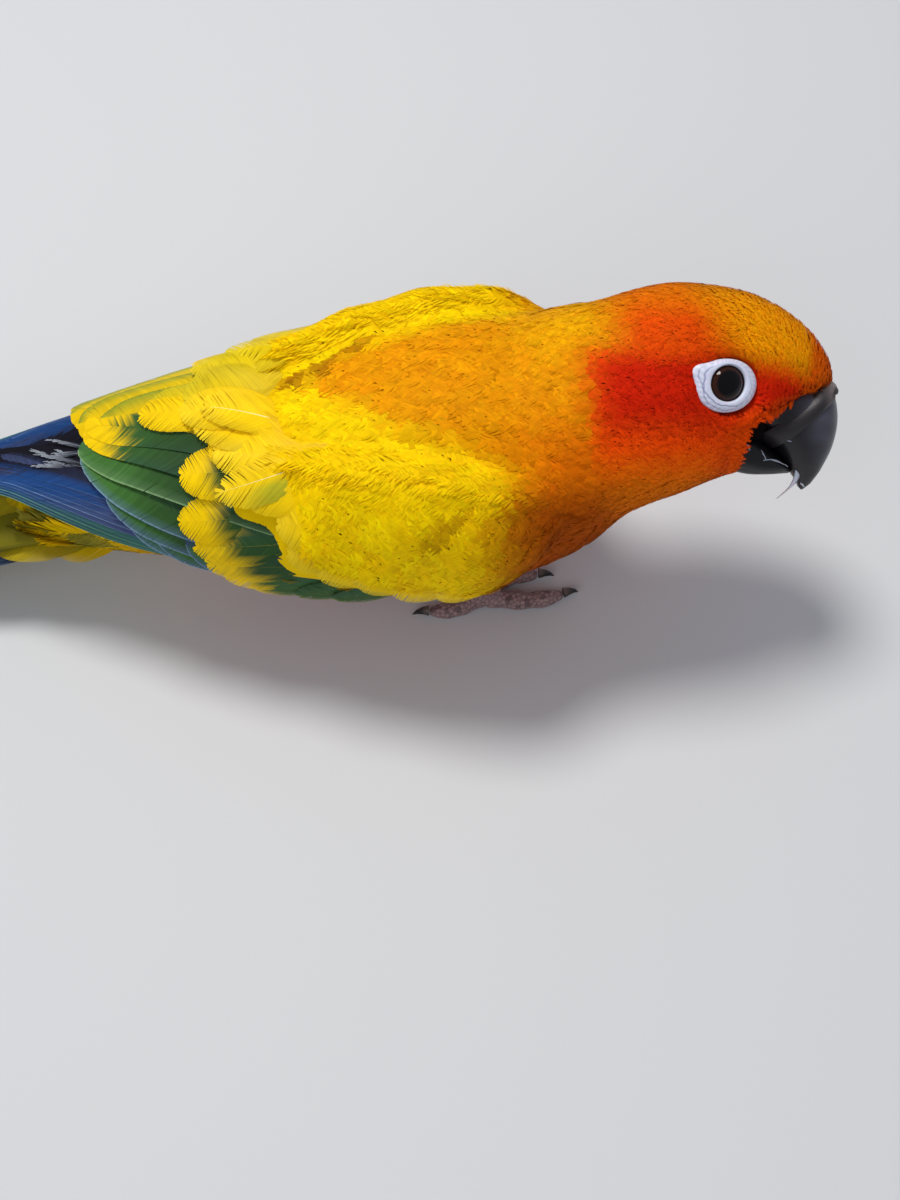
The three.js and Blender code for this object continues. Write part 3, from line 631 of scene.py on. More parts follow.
def scatter(count, spacing, wanted, seed):
    """Roots spread over the skin where they are wanted, from so many tries."""
    draw = np.random.default_rng(seed)
    corner = skin_points[skin_faces]
    area = np.linalg.norm(np.cross(corner[:, 1] - corner[:, 0], corner[:, 2] - corner[:, 0]), axis=1)
    area = area * wanted(corner.mean(1))
    chosen = draw.choice(len(area), count, p=area / area.sum())
    u, v = draw.random(count), draw.random(count)
    over = u + v > 1
    u[over], v[over] = 1 - u[over], 1 - v[over]
    a, b, c = corner[chosen, 0], corner[chosen, 1], corner[chosen, 2]
    tries = a + (b - a) * u[:, None] + (c - a) * v[:, None]
    return spaced(tries, spacing(tries), range(count))


def feather_length(p):
    """Short at the bill and round the eyes, long on the body, shorter on the thighs."""
    h = in_head(p)
    long = np.interp(h[:, 0], [-60, -32, -20, -10, 0, 8, 16], [12.5, 10.5, 7.6, 5.2, 4.2, 3.4, 2.4])
    for side in (-1, 1):
        far = np.linalg.norm(p - from_head(EYE_AT * (1, side, 1)), axis=1)
        long = long * np.interp(far, [5, 10], [0.62, 1])
    x = p[:, 0] - FORWARD
    thigh = ramp(x, -18, -12) * ramp(-x, -4, 0) * ramp(-p[:, 2], -20, -15)
    return long * (1 - 0.45 * thigh) * (1 + 0.3 * ramp(-x, 64, 72) - 0.4 * ramp(-x, 74, 82))


def lay_coat(roots, shape, height, seed, narrow=0.23, bow=22.0, loose=0.08, forwards=False):
    """Points, faces, colours and facing of one vane for each root. A vane follows the skin
    backwards and leaves it at the rump's end, towards the tail, or stands straight forwards."""
    draw = np.random.default_rng(seed)
    count = len(roots)

    def each_barb(values):
        return values[:, shape["barb"]]

    long = feather_length(roots) * draw.uniform(0.88, 1.12, count)
    middle = np.empty((count, STOPS, 3))
    up = np.empty((count, STOPS, 3))
    ahead = np.empty((count, STOPS, 3))
    place, out = on_skin(roots)
    stray = draw.normal(0, STRAY, (count, 1))
    rump_end = ramp(FORWARD - roots[:, 0], *RUMP_TURNS)[:, None]
    free = (roots[:, 0] < FORWARD - RUMP_FREE)[:, None]
    for k in range(STOPS):
        way = -lie(place) if forwards else lie(place)
        way = unit(way - (way * out).sum(1)[:, None] * out)
        drop = -0.05 - np.where(out[:, 2] > 0, 0.62, 0.3) * out[:, 2]
        tailwards = np.stack([np.full(count, -1.0), -0.3 * out[:, 1], drop], -1)
        way = unit(way * (1 - rump_end) + tailwards * rump_end)
        way = unit(way + stray * np.cross(out, way))
        middle[:, k], up[:, k], ahead[:, k] = place, out, way
        place = place + way * (long / (STOPS - 1))[:, None]
        if k + 1 < STOPS and not forwards:
            snug, snug_out = on_skin(place)
            place, out = np.where(free, place, snug), np.where(free, out, snug_out)

    # Each point of the vane is set between two stops of its feather's middle line.
    barbs = (count, shape["barbs"])
    ragged = each_barb(draw.uniform(1 - 1.5 * loose, 1 + 0.5 * loose, barbs))
    s = shape["s"] * (1 + (ragged - 1) * shape["f"])
    at = np.clip(s * (STOPS - 1), 0, STOPS - 1.001)
    k = at.astype(int)
    row = np.arange(count)[:, None]
    part_way = (at - k)[..., None]
    centre = middle[row, k] * (1 - part_way) + middle[row, k + 1] * part_way
    rise = unit(up[row, k] * (1 - part_way) + up[row, k + 1] * part_way)
    run = ahead[row, k] * (1 - part_way) + ahead[row, k + 1] * part_way
    across = np.cross(rise, run)
    half = (long * narrow)[:, None]
    reach = half * shape["q"] * each_barb(draw.uniform(0.9, 1.08, barbs))
    tip = (height(roots) * draw.uniform(0.9, 1.06, count))[:, None]
    lift = -ROOT_DEPTH + (tip + ROOT_DEPTH) * (1 - (1 - np.clip(s, 0, 1)) ** 2.2)
    lift = lift + each_barb(draw.normal(0, BARB_UNEVEN, barbs))
    points = centre + across * reach[..., None] + rise * (lift - reach ** 2 / (2 * bow))[..., None]
    facing = unit(rise + across * (0.3 * shape["q"])[None, :, None] - run * 0.12)

    # A vane has the colour of the place near its tip, a little varied, and streaks along its barbs.
    colour = plumage(middle[:, -1] * 0.75 + middle[:, 1] * 0.25)
    colour = colour * draw.uniform(0.92, 1.06, (count, 1))
    colour[:, 1] *= draw.uniform(0.93, 1.07, count)
    streak = each_barb(draw.normal(1, 0.07, barbs))
    # Painted shade: each vane is darker towards its root, where it lies under the next.
    tint = colour[:, None, :] * (streak * (0.86 + 0.14 * s))[..., None]
    size = len(shape["s"])
    faces = (shape["faces"][None] + (np.arange(count) * size)[:, None, None]).reshape(-1, 4)
    return points.reshape(-1, 3), faces, np.clip(tint, 0, 1).reshape(-1, 3), facing.reshape(-1, 3)


def coat_piece(name, roots, shape, height, seed, slot, unwrapped, **more):
    points, faces, tint, facing = lay_coat(roots, shape, height, seed, **more)
    patch = np.stack([shape["s"] - 0.5, shape["q"] / 2], -1) * FLAT_PATCH
    bake = (unwrapped(roots)[:, None, :] + patch[None]).reshape(-1, 2)
    return joined_piece(name, points, faces, tint, bake, body_finish, slot, facing=facing)


def round_the_body(p):
    """The trunk's skin rolled out flat: along it, and round it."""
    turn = np.arctan2(p[:, 1], p[:, 2] - np.interp(p[:, 0] - FORWARD, TRUNK[:, 0], TRUNK[:, 1]))
    return np.stack([(p[:, 0] + 20) / FLAT_LENGTH, 0.5 + turn / FLAT_TURN], -1)


def on_arm(p):
    """1 on the arm's pad and where the large feathers lie behind it, 0 elsewhere."""
    x, turn = wing_spot(p)
    at = along(WING_PAD, np.clip(x, *PAD_ENDS))
    arm = (x > -64) & (x < 12) & (turn > at[:, 1]) & (turn < at[:, 2])
    covered = (x > -70) & (x < -44) & (turn > 16) & (turn < 86)
    return (arm | covered).astype(float)


on_head = lambda p: (in_head(p)[:, 0] > HEAD_START).astype(float)
on_body = lambda p: (1 - on_head(p)) * (1 - on_arm(p)) * (p[:, 0] > FORWARD - COAT_END)
body_roots = scatter(BODY_TRIES, lambda p: 0.105 * feather_length(p), on_body, seed=11)
body_vane = vane(10, (0, 0.55, 1), sweep=0.7, fray=0.55)
body_height = lambda p: np.full(len(p), COAT_DEPTH + 0.15)
# In four pieces, one above the other.
level = np.digitize(body_roots[:, 2], [16, 34, 52])
for n in range(4):
    coat_piece("coat_body_" + str(n + 1), body_roots[level == n], body_vane, body_height, 21 + n,
               "plumage_body", round_the_body)


# Head coat: the smallest feathers of all, dense and velvety on the cheeks, parting round the
# eye's bare ring and ending at the bill, where a fringe of loose ones stands forwards over it.
HEAD_TRIES = 110000
HEAD_GAP = 0.46
FRINGE_TRIES = 6000
FRINGE_GAP = 0.42
RING_REACH = 4.9


def round_the_head(p):
    """The head's skin rolled out flat: away from the bill's middle, and round it."""
    h = in_head(p) + (8, 0, 0)
    away = np.arccos(np.clip(h[:, 0] / np.linalg.norm(h, axis=1), -1, 1))
    return np.stack([0.02 + 0.95 * away / math.pi, 0.5 + np.arctan2(h[:, 1], h[:, 2]) / FLAT_TURN], -1)


def bare_free(p):
    """1 where feathers grow on the head, 0 on the bill and on the bare skin round the eyes."""
    h = in_head(p)
    free = on_head(p) * (beyond_face(h) < 0.2)
    for side in (-1, 1):
        off = h - (EYE_AT * (1, side, 1) + (-0.6, 0, 0.3))
        far = np.hypot(off[:, 0] * 0.95, off[:, 2] * 1.12) + 3 * (off[:, 1] * side < -4)
        free = free * (far > RING_REACH)
    return free


def beside_bill(p):
    h = in_head(p)
    ahead = beyond_face(h) + 1.9 * ramp(-h[:, 2], -1, 3)
    return bare_free(p) * (ahead > -1.3) * (ahead < 0.2)


head_roots = scatter(HEAD_TRIES, lambda p: np.maximum(0.125 * feather_length(p), HEAD_GAP), bare_free,
                     seed=12)
head_vane = vane(8, (0, 0.6, 1), sweep=0.7, fray=0.6)
forehead = lambda h: ramp(h[:, 0] + 0.3 * h[:, 2], 8, 17) * ramp(h[:, 2], -2, 5)
head_height = lambda p: np.interp(in_head(p)[:, 0], [-20, -6, 10], [1.1, 0.75, 0.5]) + forehead(in_head(p))
# In six pieces: three from nape to face on each side.
h = in_head(head_roots)
part_of = np.where(h[:, 1] > 0, 0, 3) + np.digitize(h[:, 0], [-5, 5])
for n in range(6):
    coat_piece("coat_head_" + str(n + 1), head_roots[part_of == n], head_vane, head_height, 22 + n,
               "plumage_head", round_the_head, narrow=0.23, bow=14.0, loose=0.14)

fringe_roots = scatter(FRINGE_TRIES, lambda p: np.full(len(p), FRINGE_GAP), beside_bill, seed=14)
fringe_height = lambda p: 0.5 + 0.9 * forehead(in_head(p))
coat_piece("coat_fringe", fringe_roots, head_vane, fringe_height, 28, "plumage_head",
           round_the_head, narrow=0.16, bow=14.0, loose=0.2, forwards=True)


# Wings, folded: tiers of real feathers over the skin of the arm, each a vane of barbs on a shaft.
# Blue primaries lie lowest and cross over the tail, green secondaries cover them, then come the
# coverts, green at the root and yellow at the end, and small yellow ones over the arm.
SIDES = (("left", 1), ("right", -1))
GREEN = paint(64, 110, 48)
DEEP_GREEN = paint(42, 70, 36)
EDGE_GREEN = paint(150, 186, 128)
OLIVE_GREEN = paint(150, 160, 40)
VIOLET = paint(66, 78, 118)
SLATE = paint(56, 82, 98)
BLUE = paint(26, 66, 124)
TEAL = paint(56, 108, 96)
PALE_BLUE = paint(140, 170, 205)
DUSK = paint(16, 14, 24)
PALE_YELLOW = paint(244, 222, 70)
SHAFT = paint(236, 214, 90)
PALE_SHAFT = paint(255, 246, 190)
DARK_SHAFT = paint(44, 40, 52)
wing_finish = tinted_finish("wing_feathers", {"Roughness": 0.5, "Specular IOR Level": 0.1}, 180, 0.12)

# The closed primaries lie between an upper and a lower line: station, and the angle of each line
# counted from the back downwards. A primary has its tip's station and its share from line to line.
PRIMARY_LINES = np.array([
    (-142, -6, 2), (-125, -7, 4), (-108, -6, 10), (-99, -3, 16), (-91.5, 4, 27), (-85.6, 14, 41),
    (-79.2, 24, 57), (-71.7, 36, 73), (-65.3, 45, 83), (-58.3, 54, 89), (-46, 60, 94), (-36, 62, 98),
])
PRIMARIES = [
    (-97, 0), (-104, 0.18), (-112, 0.32), (-120, 0.45), (-127, 0.57), (-133, 0.68), (-137, 0.79),
    (-140, 0.9), (-141, 1.0),
]
PRIMARY_ROOT = -38
# Root and tip stations, then the angle at root, half way and tip.
SECONDARIES = [
    (-30, -76.5, 34, 14, -16), (-30, -76.5, 50, 30, -7), (-30, -77, 66, 44, 6),
    (-30, -76.2, 66, 80, 14), (-30, -71, 100, 84, 40), (-30, -67, 104, 92, 56),
    (-30, -62, 106, 98, 66), (-26, -56, 109, 102, 74),
]
FAR_TERTIALS = [
    (-30, -75, 20, 14, 9), (-30, -78, 30, 26, 20), (-30, -80, 42, 38, 31), (-30, -80.5, 54, 50, 42),
]
GREATER_COVERTS = [
    (-44, -65.5, -2, -5, -9), (-42, -51, 20, 21, 20), (-40, -56.2, 35, 34, 34),
    (-38, -56.8, 55, 57, 58), (-34, -54.5, 68, 71, 72), (-32, -52.6, 82, 84, 84),
    (-30, -49.5, 93, 94, 95), (-26, -45, 101, 102, 103), (-20, -37, 106, 107, 108),
    (-13, -30, 109, 110, 110),
]
MEDIAN_COVERTS = [
    (-36, -57, 4, 1, -2), (-34, -53.8, 18, 14, 9), (-31, -50, 31, 29, 24), (-29, -45.5, 44, 43, 40),
    (-24, -38.5, 58, 58, 57), (-21, -37, 70, 71, 71), (-18, -32, 81, 80, 79), (-12, -25, 88, 86, 85),
    (-6, -19, 94, 92, 91), (0, -11, 98, 97, 97),
]
# Two long loose feathers with pale shafts lie over the near wing's coverts.
LOOSE_FEATHERS = [(-24, -49, 29, 36, 43), (-33, -53, 13, 6, -2)]
# On the far wing the first four feathers of a tier, next to the back, have places of their own.
FAR_FIRST = 4
# Feathers lie lower the nearer they are to the back's middle line, within these angles.
NEAR_BACK = (4, 34)
BACK_RADIUS = 15
# So much of a median covert shows behind the small coverts.
MEDIAN_SHOWS = 13.5
SMALL_TRIES = 40000


def wing_place(side, x, turn, q, height, shingle):
    """A point over the bed. Across a feather, q, it climbs by the shingle, so that one laps the next."""
    bed = along(BED, x)
    round_bed = (bed[..., 2] + bed[..., 3]) / 2 + height
    return section_point(BED, x, side * (turn + np.degrees(q / round_bed)), height + shingle * q)


def shaft_strip(half, stops=12):
    """A thin roof along the feather's middle line: s, q and lift."""
    s, q = np.meshgrid(np.linspace(0, 0.97, stops), [-1, 0, 1], indexing="ij")
    index = np.arange(s.size).reshape(s.shape)
    quads = np.stack([index[:-1, :-1], index[1:, :-1], index[1:, 1:], index[:-1, 1:]], -1)
    thin = half * (1.05 - s)
    return s.ravel(), (q * thin).ravel(), (thin * (1 - np.abs(q))).ravel(), quads.reshape(-1, 4)


def laid_feather(place, shape, half, colour, shaft, draw, rough=0.0012):
    """One feather: its barbs and its shaft where place(s, across, lift) puts them. The shaft is
    given as its colour, half width and how far it has that colour."""
    s, q, barb = shape["s"], shape["q"], shape["barb"]
    count = shape["barbs"]
    ragged = draw.normal(0, rough, count)
    ragged[draw.random(count) < 0.03] -= 4 * rough
    across = half * q * (1 + 1.5 * ragged[barb])
    along_it = s * (1 + ragged[barb] * shape["f"])
    lift = draw.normal(0, 0.008, count)[barb] - 0.03 * across ** 2 / half * shape["f"]
    blade = place(along_it, across, lift)
    tint = colour(s + draw.normal(0, 0.018, count)[barb], shape["edge"])
    tint = tint * draw.normal(1, 0.06, count)[barb][:, None]
    shaft_colour, shaft_half, shaft_share = shaft
    ss, sq, sl, quads = shaft_strip(shaft_half)
    points = np.concatenate([blade, place(ss, sq, sl)])
    faces = np.concatenate([shape["faces"], quads + len(s)])
    corner = points[faces]
    facing = np.cross(corner[:, 2] - corner[:, 0], corner[:, 3] - corner[:, 1])[: len(shape["faces"])]
    up = (place(along_it, across, lift + 0.3) - blade)[shape["faces"][:, 0]]
    if (facing * up).sum() < 0:
        faces = faces[:, ::-1]
    line = mixed(colour(ss, sq * 0), shaft_colour, shaft_share)
    flat = np.concatenate([np.stack([s, q], -1), np.stack([ss, sq / half], -1)])
    return points, faces, np.clip(np.concatenate([tint, line]), 0, 1), flat


def curved_path(root, tip, start, via, end):
    def path(s):
        return root + (tip - root) * s, start * (1 - s) ** 2 + 2 * via * s * (1 - s) + end * s ** 2
    return path


def primary_path(tip, share):
    def path(s):
        x = PRIMARY_ROOT + (tip - PRIMARY_ROOT) * s
        _, upper, lower = np.moveaxis(along(PRIMARY_LINES, x), -1, 0)
        return x, upper + (lower - upper) * share
    return path


def wing_feather(side, path, shape, half, rise, shingle, colour, shaft, draw, rough=0.0012):
    """A feather on a wing. It rises from deep in the coat to its tip's height, less near the back."""
    x, turn = path(np.zeros(1))
    deep = rise[0] + (pad_height(np.maximum(x, PAD_ENDS[0]), turn)[0] - PAD_EDGE)

    def place(s, across, lift):
        x, turn = path(np.clip(s, 0, 1.02))
        near = ramp(np.abs(turn + np.degrees(across / BACK_RADIUS)), *NEAR_BACK)
        if side < 0:
            tip_high = rise[1] * (0.5 + 0.5 * near)
        else:
            tip_high = rise[1] * (0.32 + 0.68 * near) - 0.5 * (1 - near)
        high = deep + (tip_high - deep) * (1 - (1 - np.clip(s, 0, 1)) ** 2)
        return wing_place(side, x, turn, across, high + lift, shingle * (0.4 + 0.6 * near))

    return laid_feather(place, shape, half, colour, shaft, draw, rough)


def gather(feathers):
    """Feathers joined into one table, each with a strip of the flat map of its own."""
    points, faces, tint, bake = [], [], [], []
    total = 0
    strip = 0.98 / len(feathers)
    for n, (p, f, t, flat) in enumerate(feathers):
        points.append(p)
        faces.append(f + total)
        tint.append(t)
        total += len(p)
        bake.append(np.stack([0.01 + 0.98 * flat[:, 0], 0.01 + strip * (n + 0.5 + 0.45 * flat[:, 1])], -1))
    return np.concatenate(points), np.concatenate(faces), np.concatenate(tint), np.concatenate(bake)


# A feather's colour at s, from root to tip, and e, from its inner edge, -1, to its outer one, 1.
def secondary_colour(k, far=False):
    def colour(s, e):
        c = mixed(DEEP_GREEN, GREEN, ramp(s, 0.5, 0.9) * (0.6 if k < 2 else 1))
        c = mixed(c, SLATE, (0.1, 0.2, 0.15, 0.35, 0.9, 1.0, 1.0, 1.0)[k] * ramp(np.abs(e - 0.15), 0.3, 1.0))
        c = mixed(c, VIOLET, (0.5 if k > 3 else 0.0) * ramp(-e, -0.5, 0.5))
        if k < 2:
            c = mixed(c, YELLOW * 0.88, ramp(s + 0.05 * np.abs(e), (0.8, 0.84)[k], (0.91, 0.95)[k]))
            return mixed(c, YELLOW * 0.9, 0.8 * ramp(-e, 0.55, 0.9) * ramp(s, 0.3, 0.6))
        return mixed(c, PALE_BLUE if k > 2 else EDGE_GREEN, 0.7 * ramp(e, 0.86, 1.0))

    def far_colour(s, e):
        c = mixed(YELLOW * 0.8, OLIVE_GREEN, 0.8 * ramp(e, 0.3, 0.9))
        return mixed(c, GREEN, ramp(e, 0.84, 1.0) * (0.5 if k < 3 else 0.9))

    return far_colour if far else colour


def primary_colour(k, far=False):
    start = (-0.25, -0.45, -0.7)[k] if k < 3 else -0.9
    edge = PALE_BLUE if k < 5 else EDGE_GREEN * (0.6, 0.9, 1.1)
    pale = (0.3, 0.2, 0.3, 0.7, 0.3, 0.2, 0.8, 0.4, 0.75)[k]

    def colour(s, e):
        c = mixed(DUSK, VIOLET, ramp(e, start, start + 0.6) * ramp(-s, -0.92, -0.45))
        if k > 4:
            c = mixed(c, TEAL, 0.9 * ramp(e, 0.0, 0.6) * ramp(-s, -0.62, -0.3))
        c = mixed(c, BLUE, ramp(e, 0.0, 0.7) * ramp(s, 0.35, 0.62))
        c = mixed(c, DUSK, 0.85 * ramp(s, 0.7, 1.0) * ramp(-e, -0.9, -0.2))
        if far:
            c = mixed(c, BLUE * 0.8, 0.8 * ramp(e, -0.3, 0.2))
            c = mixed(c, PALE_BLUE, 0.8 * (k == 3) * ramp(-np.abs(e + 0.3), -0.09, -0.03))
            # On the far wing the inner vane is near black: partly the dusky colour primaries have, partly
            # painted shade of the deep gap between the wings.
            c = mixed(c, DUSK, 0.95 * ramp(-e, 0.38, 0.46))
        return mixed(c, edge, pale * ramp(e, 0.86, 1.0) * ramp(-s, -0.85, -0.5))

    return colour


def greater_colour(k):
    start = (-0.3, 0.5, 0.56, 0.54, 0.6, 0.58, 0.64, 0.9, 1.4, 1.4)[k]

    def colour(s, e):
        c = mixed(DEEP_GREEN, SLATE, (0.5 if k % 2 else 0.25) * ramp(-e, -0.2, 0.9))
        c = mixed(c, GREEN, 0.5 if k > 5 else 0.15)
        edge = 0.1 * e ** 2 + (0.14 * ramp(e, 0.4, 1) if k > 3 else 0)
        c = mixed(c, OLIVE_GREEN * 1.1, (0.7 if k > 6 else 0.0) * ramp(e, 0.72, 0.98))
        return mixed(c, YELLOW * 0.94, ramp(s + edge, start - 0.04, start + 0.22))

    return colour


def yellow_colour(s, e):
    c = mixed(YELLOW * 0.96, PALE_YELLOW, 0.2 * ramp(s, 0.6, 1))
    c = mixed(c, OLIVE_GREEN, 0.22 * ramp(e, 0.5, 1) * ramp(s, 0.3, 0.6))
    # Painted shade: golden towards the root, where the feather lies under the next.
    return mixed(c, GOLDEN, 0.3 * ramp(-s, -0.5, 0))


# Painted shade: the far wing's yellow feathers, darker and duller than the same feathers of the near wing.
def far_yellow_shaded(s, e):
    return yellow_colour(s, e) * (0.82, 0.9, 1.0)


def olive_colour(s, e):
    return mixed(yellow_colour(s, e), OLIVE_GREEN * 1.05, 0.75 * ramp(e, 0.05, 0.45) * ramp(-s, -0.85, -0.6))


primary_vane = vane(120, (0, 0.5, 0.88, 1), sweep=0.1, base=0.55, blunt=0.82, fray=0.0, outer=0.34)
secondary_vane = vane(96, (0, 0.5, 0.9, 1), sweep=0.16, base=0.6, blunt=0.8, fray=0.0, outer=0.8)
covert_vane = vane(64, (0, 0.4, 0.8, 1), sweep=0.4, base=0.4, blunt=0.6, fray=0.35)
small_vane = vane(16, (0, 0.55, 1), sweep=0.6, base=0.5, blunt=0.6, fray=0.6)


def ahead_of_medians(p):
    """Roots of the small coverts: on the arm, ahead of the medians, whose roots they cover."""
    x, turn = wing_spot(p)
    tips = np.array([(f[4], f[1]) for f in MEDIAN_COVERTS])
    return on_arm(p) * (x > np.interp(turn, tips[:, 0], tips[:, 1]) + MEDIAN_SHOWS)


small_roots = scatter(SMALL_TRIES, lambda p: 0.1 * feather_length(p), ahead_of_medians, seed=13)
for label, side in SIDES:
    coat_piece("small_coverts_" + label, small_roots[side * small_roots[:, 1] > 0], small_vane,
               body_height, 23, "wing_feathers", round_the_body, narrow=0.3)

for label, side in SIDES:
    far = side > 0
    draw = np.random.default_rng(31)
    large = []
    for k, (tip, share) in enumerate(PRIMARIES):
        large.append(wing_feather(
            side, primary_path(tip, share), primary_vane, half=7.0, rise=(-0.8, 1.5 - 0.13 * k),
            shingle=0.1, colour=primary_colour(k, far), shaft=(DARK_SHAFT, 0.24, 0.8), draw=draw))
    for k, table in enumerate(SECONDARIES):
        tertial = far and k < FAR_FIRST
        large.append(wing_feather(
            side, curved_path(*(FAR_TERTIALS[k] if tertial else table)), secondary_vane, half=5.4,
            rise=((-4.6, -3.4)[k] if k < 2 else -2.4, 2.9), shingle=0.2,
            colour=secondary_colour(k, tertial), shaft=(DARK_SHAFT, 0.12, 0.3), draw=draw))
    joined_piece("flight_feathers_" + label, *gather(large), wing_finish, "wing_feathers",
                 "wing_" + label)
    coverts = []
    for k, (root, tip, start, via, end) in enumerate(GREATER_COVERTS):
        if far and k < FAR_FIRST:
            start, via, end = 9 + 13 * k, 8 + 13 * k, 8 + 13 * k
        coverts.append(wing_feather(
            side, curved_path(root, tip, start, via, end), covert_vane, half=4.7, rise=(-1.9, 3.9),
            shingle=0.14, colour=far_yellow_shaded if far and k < 3 else greater_colour(k),
            shaft=(SHAFT, 0.06, 0.2), draw=draw, rough=0.006))
    for k, (root, tip, start, via, end) in enumerate(MEDIAN_COVERTS):
        if far and k < FAR_FIRST:
            start, via, end = 13 + 11 * k, 12 + 11 * k, 12 + 11 * k
        coverts.append(wing_feather(
            side, curved_path(root, tip, start, via, end), covert_vane, half=5.0 if k < 9 else 3.6,
            rise=(-1.9, 4.8), shingle=0.12, colour=far_yellow_shaded if far else yellow_colour,
            shaft=(SHAFT, 0.06, 0.3), draw=draw, rough=0.012 if k in (1, 2) else 0.007))
    for k, table in enumerate(() if far else LOOSE_FEATHERS):
        coverts.append(wing_feather(
            side, curved_path(*table), covert_vane, half=4.6, rise=((-1.0, -4.0)[k], 5.6),
            shingle=0.1, colour=(olive_colour, yellow_colour)[k], shaft=(PALE_SHAFT, 0.15, 0.9),
            draw=draw, rough=0.01))
    joined_piece("large_coverts_" + label, *gather(coverts), wing_finish, "wing_feathers")


# Down: a few loose white-grey wisps of the rump, which show between the wings' tips. Each is a
# very narrow frayed vane on a pale shaft, rooted in the rump.
DOWN_WHITE = paint(140, 146, 156)
DOWN_GREY = paint(40, 42, 52)
RIGHT = -1
WISPS = 9
down_vane = vane(14, (0, 0.35, 0.7, 1), sweep=0.3, base=0.5, blunt=0.5, fray=0.9)


def down_colour(s, e):
    return mixed(DOWN_GREY, DOWN_WHITE, ramp(s, 0.2, 0.9))


draw = np.random.default_rng(37)
wisps = []
for n in range(WISPS):
    start_x = draw.uniform(-77, -73)
    start_turn = 6 + 2 * n
    long = draw.uniform(6, 12)
    bend = draw.uniform(-18, 2)

    def place(s, across, lift):
        x = start_x - long * s
        turn = start_turn + bend * s
        curl = 0.9 * np.sin(2.2 * s + n) - 0.04 * across ** 2
        return wing_place(RIGHT, x, turn, across, 0.5 + 0.8 * s + curl * 0.5 + 4 * lift, 0.1)

    wisps.append(laid_feather(place, down_vane, 0.5, down_colour, (DOWN_WHITE, 0.05, 1.0), draw, 0.05))
joined_piece("rump_down", *gather(wisps), wing_finish, "wing_feathers")


# Tail: twelve long narrow feathers in a closed stack, the middle pair longest and on top, each a
# vane of barbs on a stiff dark shaft. Rows of short olive coverts lie over and under their roots,
# which sit in a stump of flesh.
OLIVE_YELLOW = paint(160, 150, 34)
TAIL_BLUE = paint(44, 84, 140)
TAIL_DARK = paint(34, 42, 62)
# Length, half width, distance from the middle line at root and tip, level in the stack.
RECTRICES = [
    (131, 6.6, 2.6, 3.0, 0.3), (121, 6.4, 3.4, 5.0, -0.3), (109, 6.1, 4.2, 6.6, -0.9),
    (96, 5.7, 5.0, 7.8, -1.45), (82, 5.3, 5.8, 8.6, -2.0), (67, 4.9, 6.6, 9.0, -2.5),
]
RECTRIX_ROOT = -84.5
COVERT_ROOT = -84
# The tail's height at its root, how steeply it falls backwards, and how near the floor it comes.
ROOT_AT = -86.3
ROOT_HEIGHT = 22.4
TAIL_SLOPE = 0.163
OVER_FLOOR = 0.12
# Tiers of coverts: step across, place ahead of the roots, length, half width, level, number on
# each side, share of yellow.
TAIL_TIERS = (
    (1.6, -4.5, 42, 3.9, 0.9, 3, 0.05), (2.6, 1, 34, 3.9, 1.5, 3, 0.15), (2.4, 6, 27, 3.7, 2.0, 4, 0.35),
    (2.0, 11, 22, 3.5, 2.4, 5, 0.75), (2.2, -2, 40, 3.6, -4.0, 3, 0.15), (1.5, 4, 30, 2.8, -4.1, 4, 0.3),
    (1.3, 8, 24, 2.6, -4.3, 4, 0.5),
)
# Station, height, half width, reach up and down.
STUMP = ((-116, 18.4, 6.5, 0.4, 1.2), (-97, 20.4, 10.5, 2.4, 3.0), (-80, 23.0, 9.5, 4.6, 5.2))
tail_finish = tinted_finish("tail_feathers", {"Roughness": 0.5, "Specular IOR Level": 0.12}, 180, 0.12)


def tail_spot(side, x, across, level, lift):
    """A point of the closed tail at station x, so far out from its middle line."""
    near = 1.4 * np.maximum(1 + np.minimum(x + 87.5, 0) / 30, 0) ** 2
    z = ROOT_HEIGHT + TAIL_SLOPE * (x - ROOT_AT) + level + near - 0.2 * np.abs(across) + lift
    return np.stack([x + FORWARD, side * across, np.maximum(z, OVER_FLOOR)], -1)


def rectrix_colour(k):
    def colour(s, e):
        c = mixed(OLIVE, TAIL_BLUE, ramp(s, 0.35, 0.8))
        c = mixed(c, TAIL_BLUE * 0.8, 0.75 * ramp(e, 0.2, 0.8))
        return mixed(c, TAIL_DARK, 0.75 * ramp(s, 0.86, 1) + (0.1 * k if k > 2 else 0.0))
    return colour


def tail_covert_colour(yellow):
    def colour(s, e):
        return mixed(mixed(OLIVE, OLIVE_YELLOW, ramp(s, 0.3, 0.9)), YELLOW * 0.85, yellow)
    return colour


rectrix_vane = vane(120, (0, 0.5, 0.85, 1), sweep=0.1, base=0.75, blunt=0.5, fray=0.0)
draw = np.random.default_rng(41)
large = []
for side in (1, -1):
    for k, (length, half, start, end, level) in enumerate(RECTRICES):
        def place(s, q, lift):
            across = start + (end - start) * np.sqrt(s) + q
            lapped = level + (0.25 if side < 0 else 0)
            return tail_spot(side, RECTRIX_ROOT - (length + 3) * s, across, lapped, lift)

        large.append(laid_feather(place, rectrix_vane, half, rectrix_colour(k), (DARK_SHAFT, 0.3, 0.8), draw))
joined_piece("tail_feathers", *gather(large), tail_finish, "tail_feathers", "tail")

coverts = []
for step, ahead, length, half, level, count, yellow in TAIL_TIERS:
    for side in (1, -1):
        for k in range(count):
            out = 0.6 + k * step

            def place(s, q, lift):
                x = COVERT_ROOT + ahead - (length - 2.2 * k) * s
                drop = (0.055 * out ** 2) * (1 if level > 0 else -0.6)
                return tail_spot(side, x, out * (1.35 - 0.35 * s) + q, level + 1.2 * s * (1 - s), lift - drop)

            coverts.append(laid_feather(place, covert_vane, half, tail_covert_colour(yellow),
                                        (SHAFT * 0.7, 0.08, 0.4), draw))
joined_piece("tail_coverts", *gather(coverts), tail_finish, "tail_feathers")

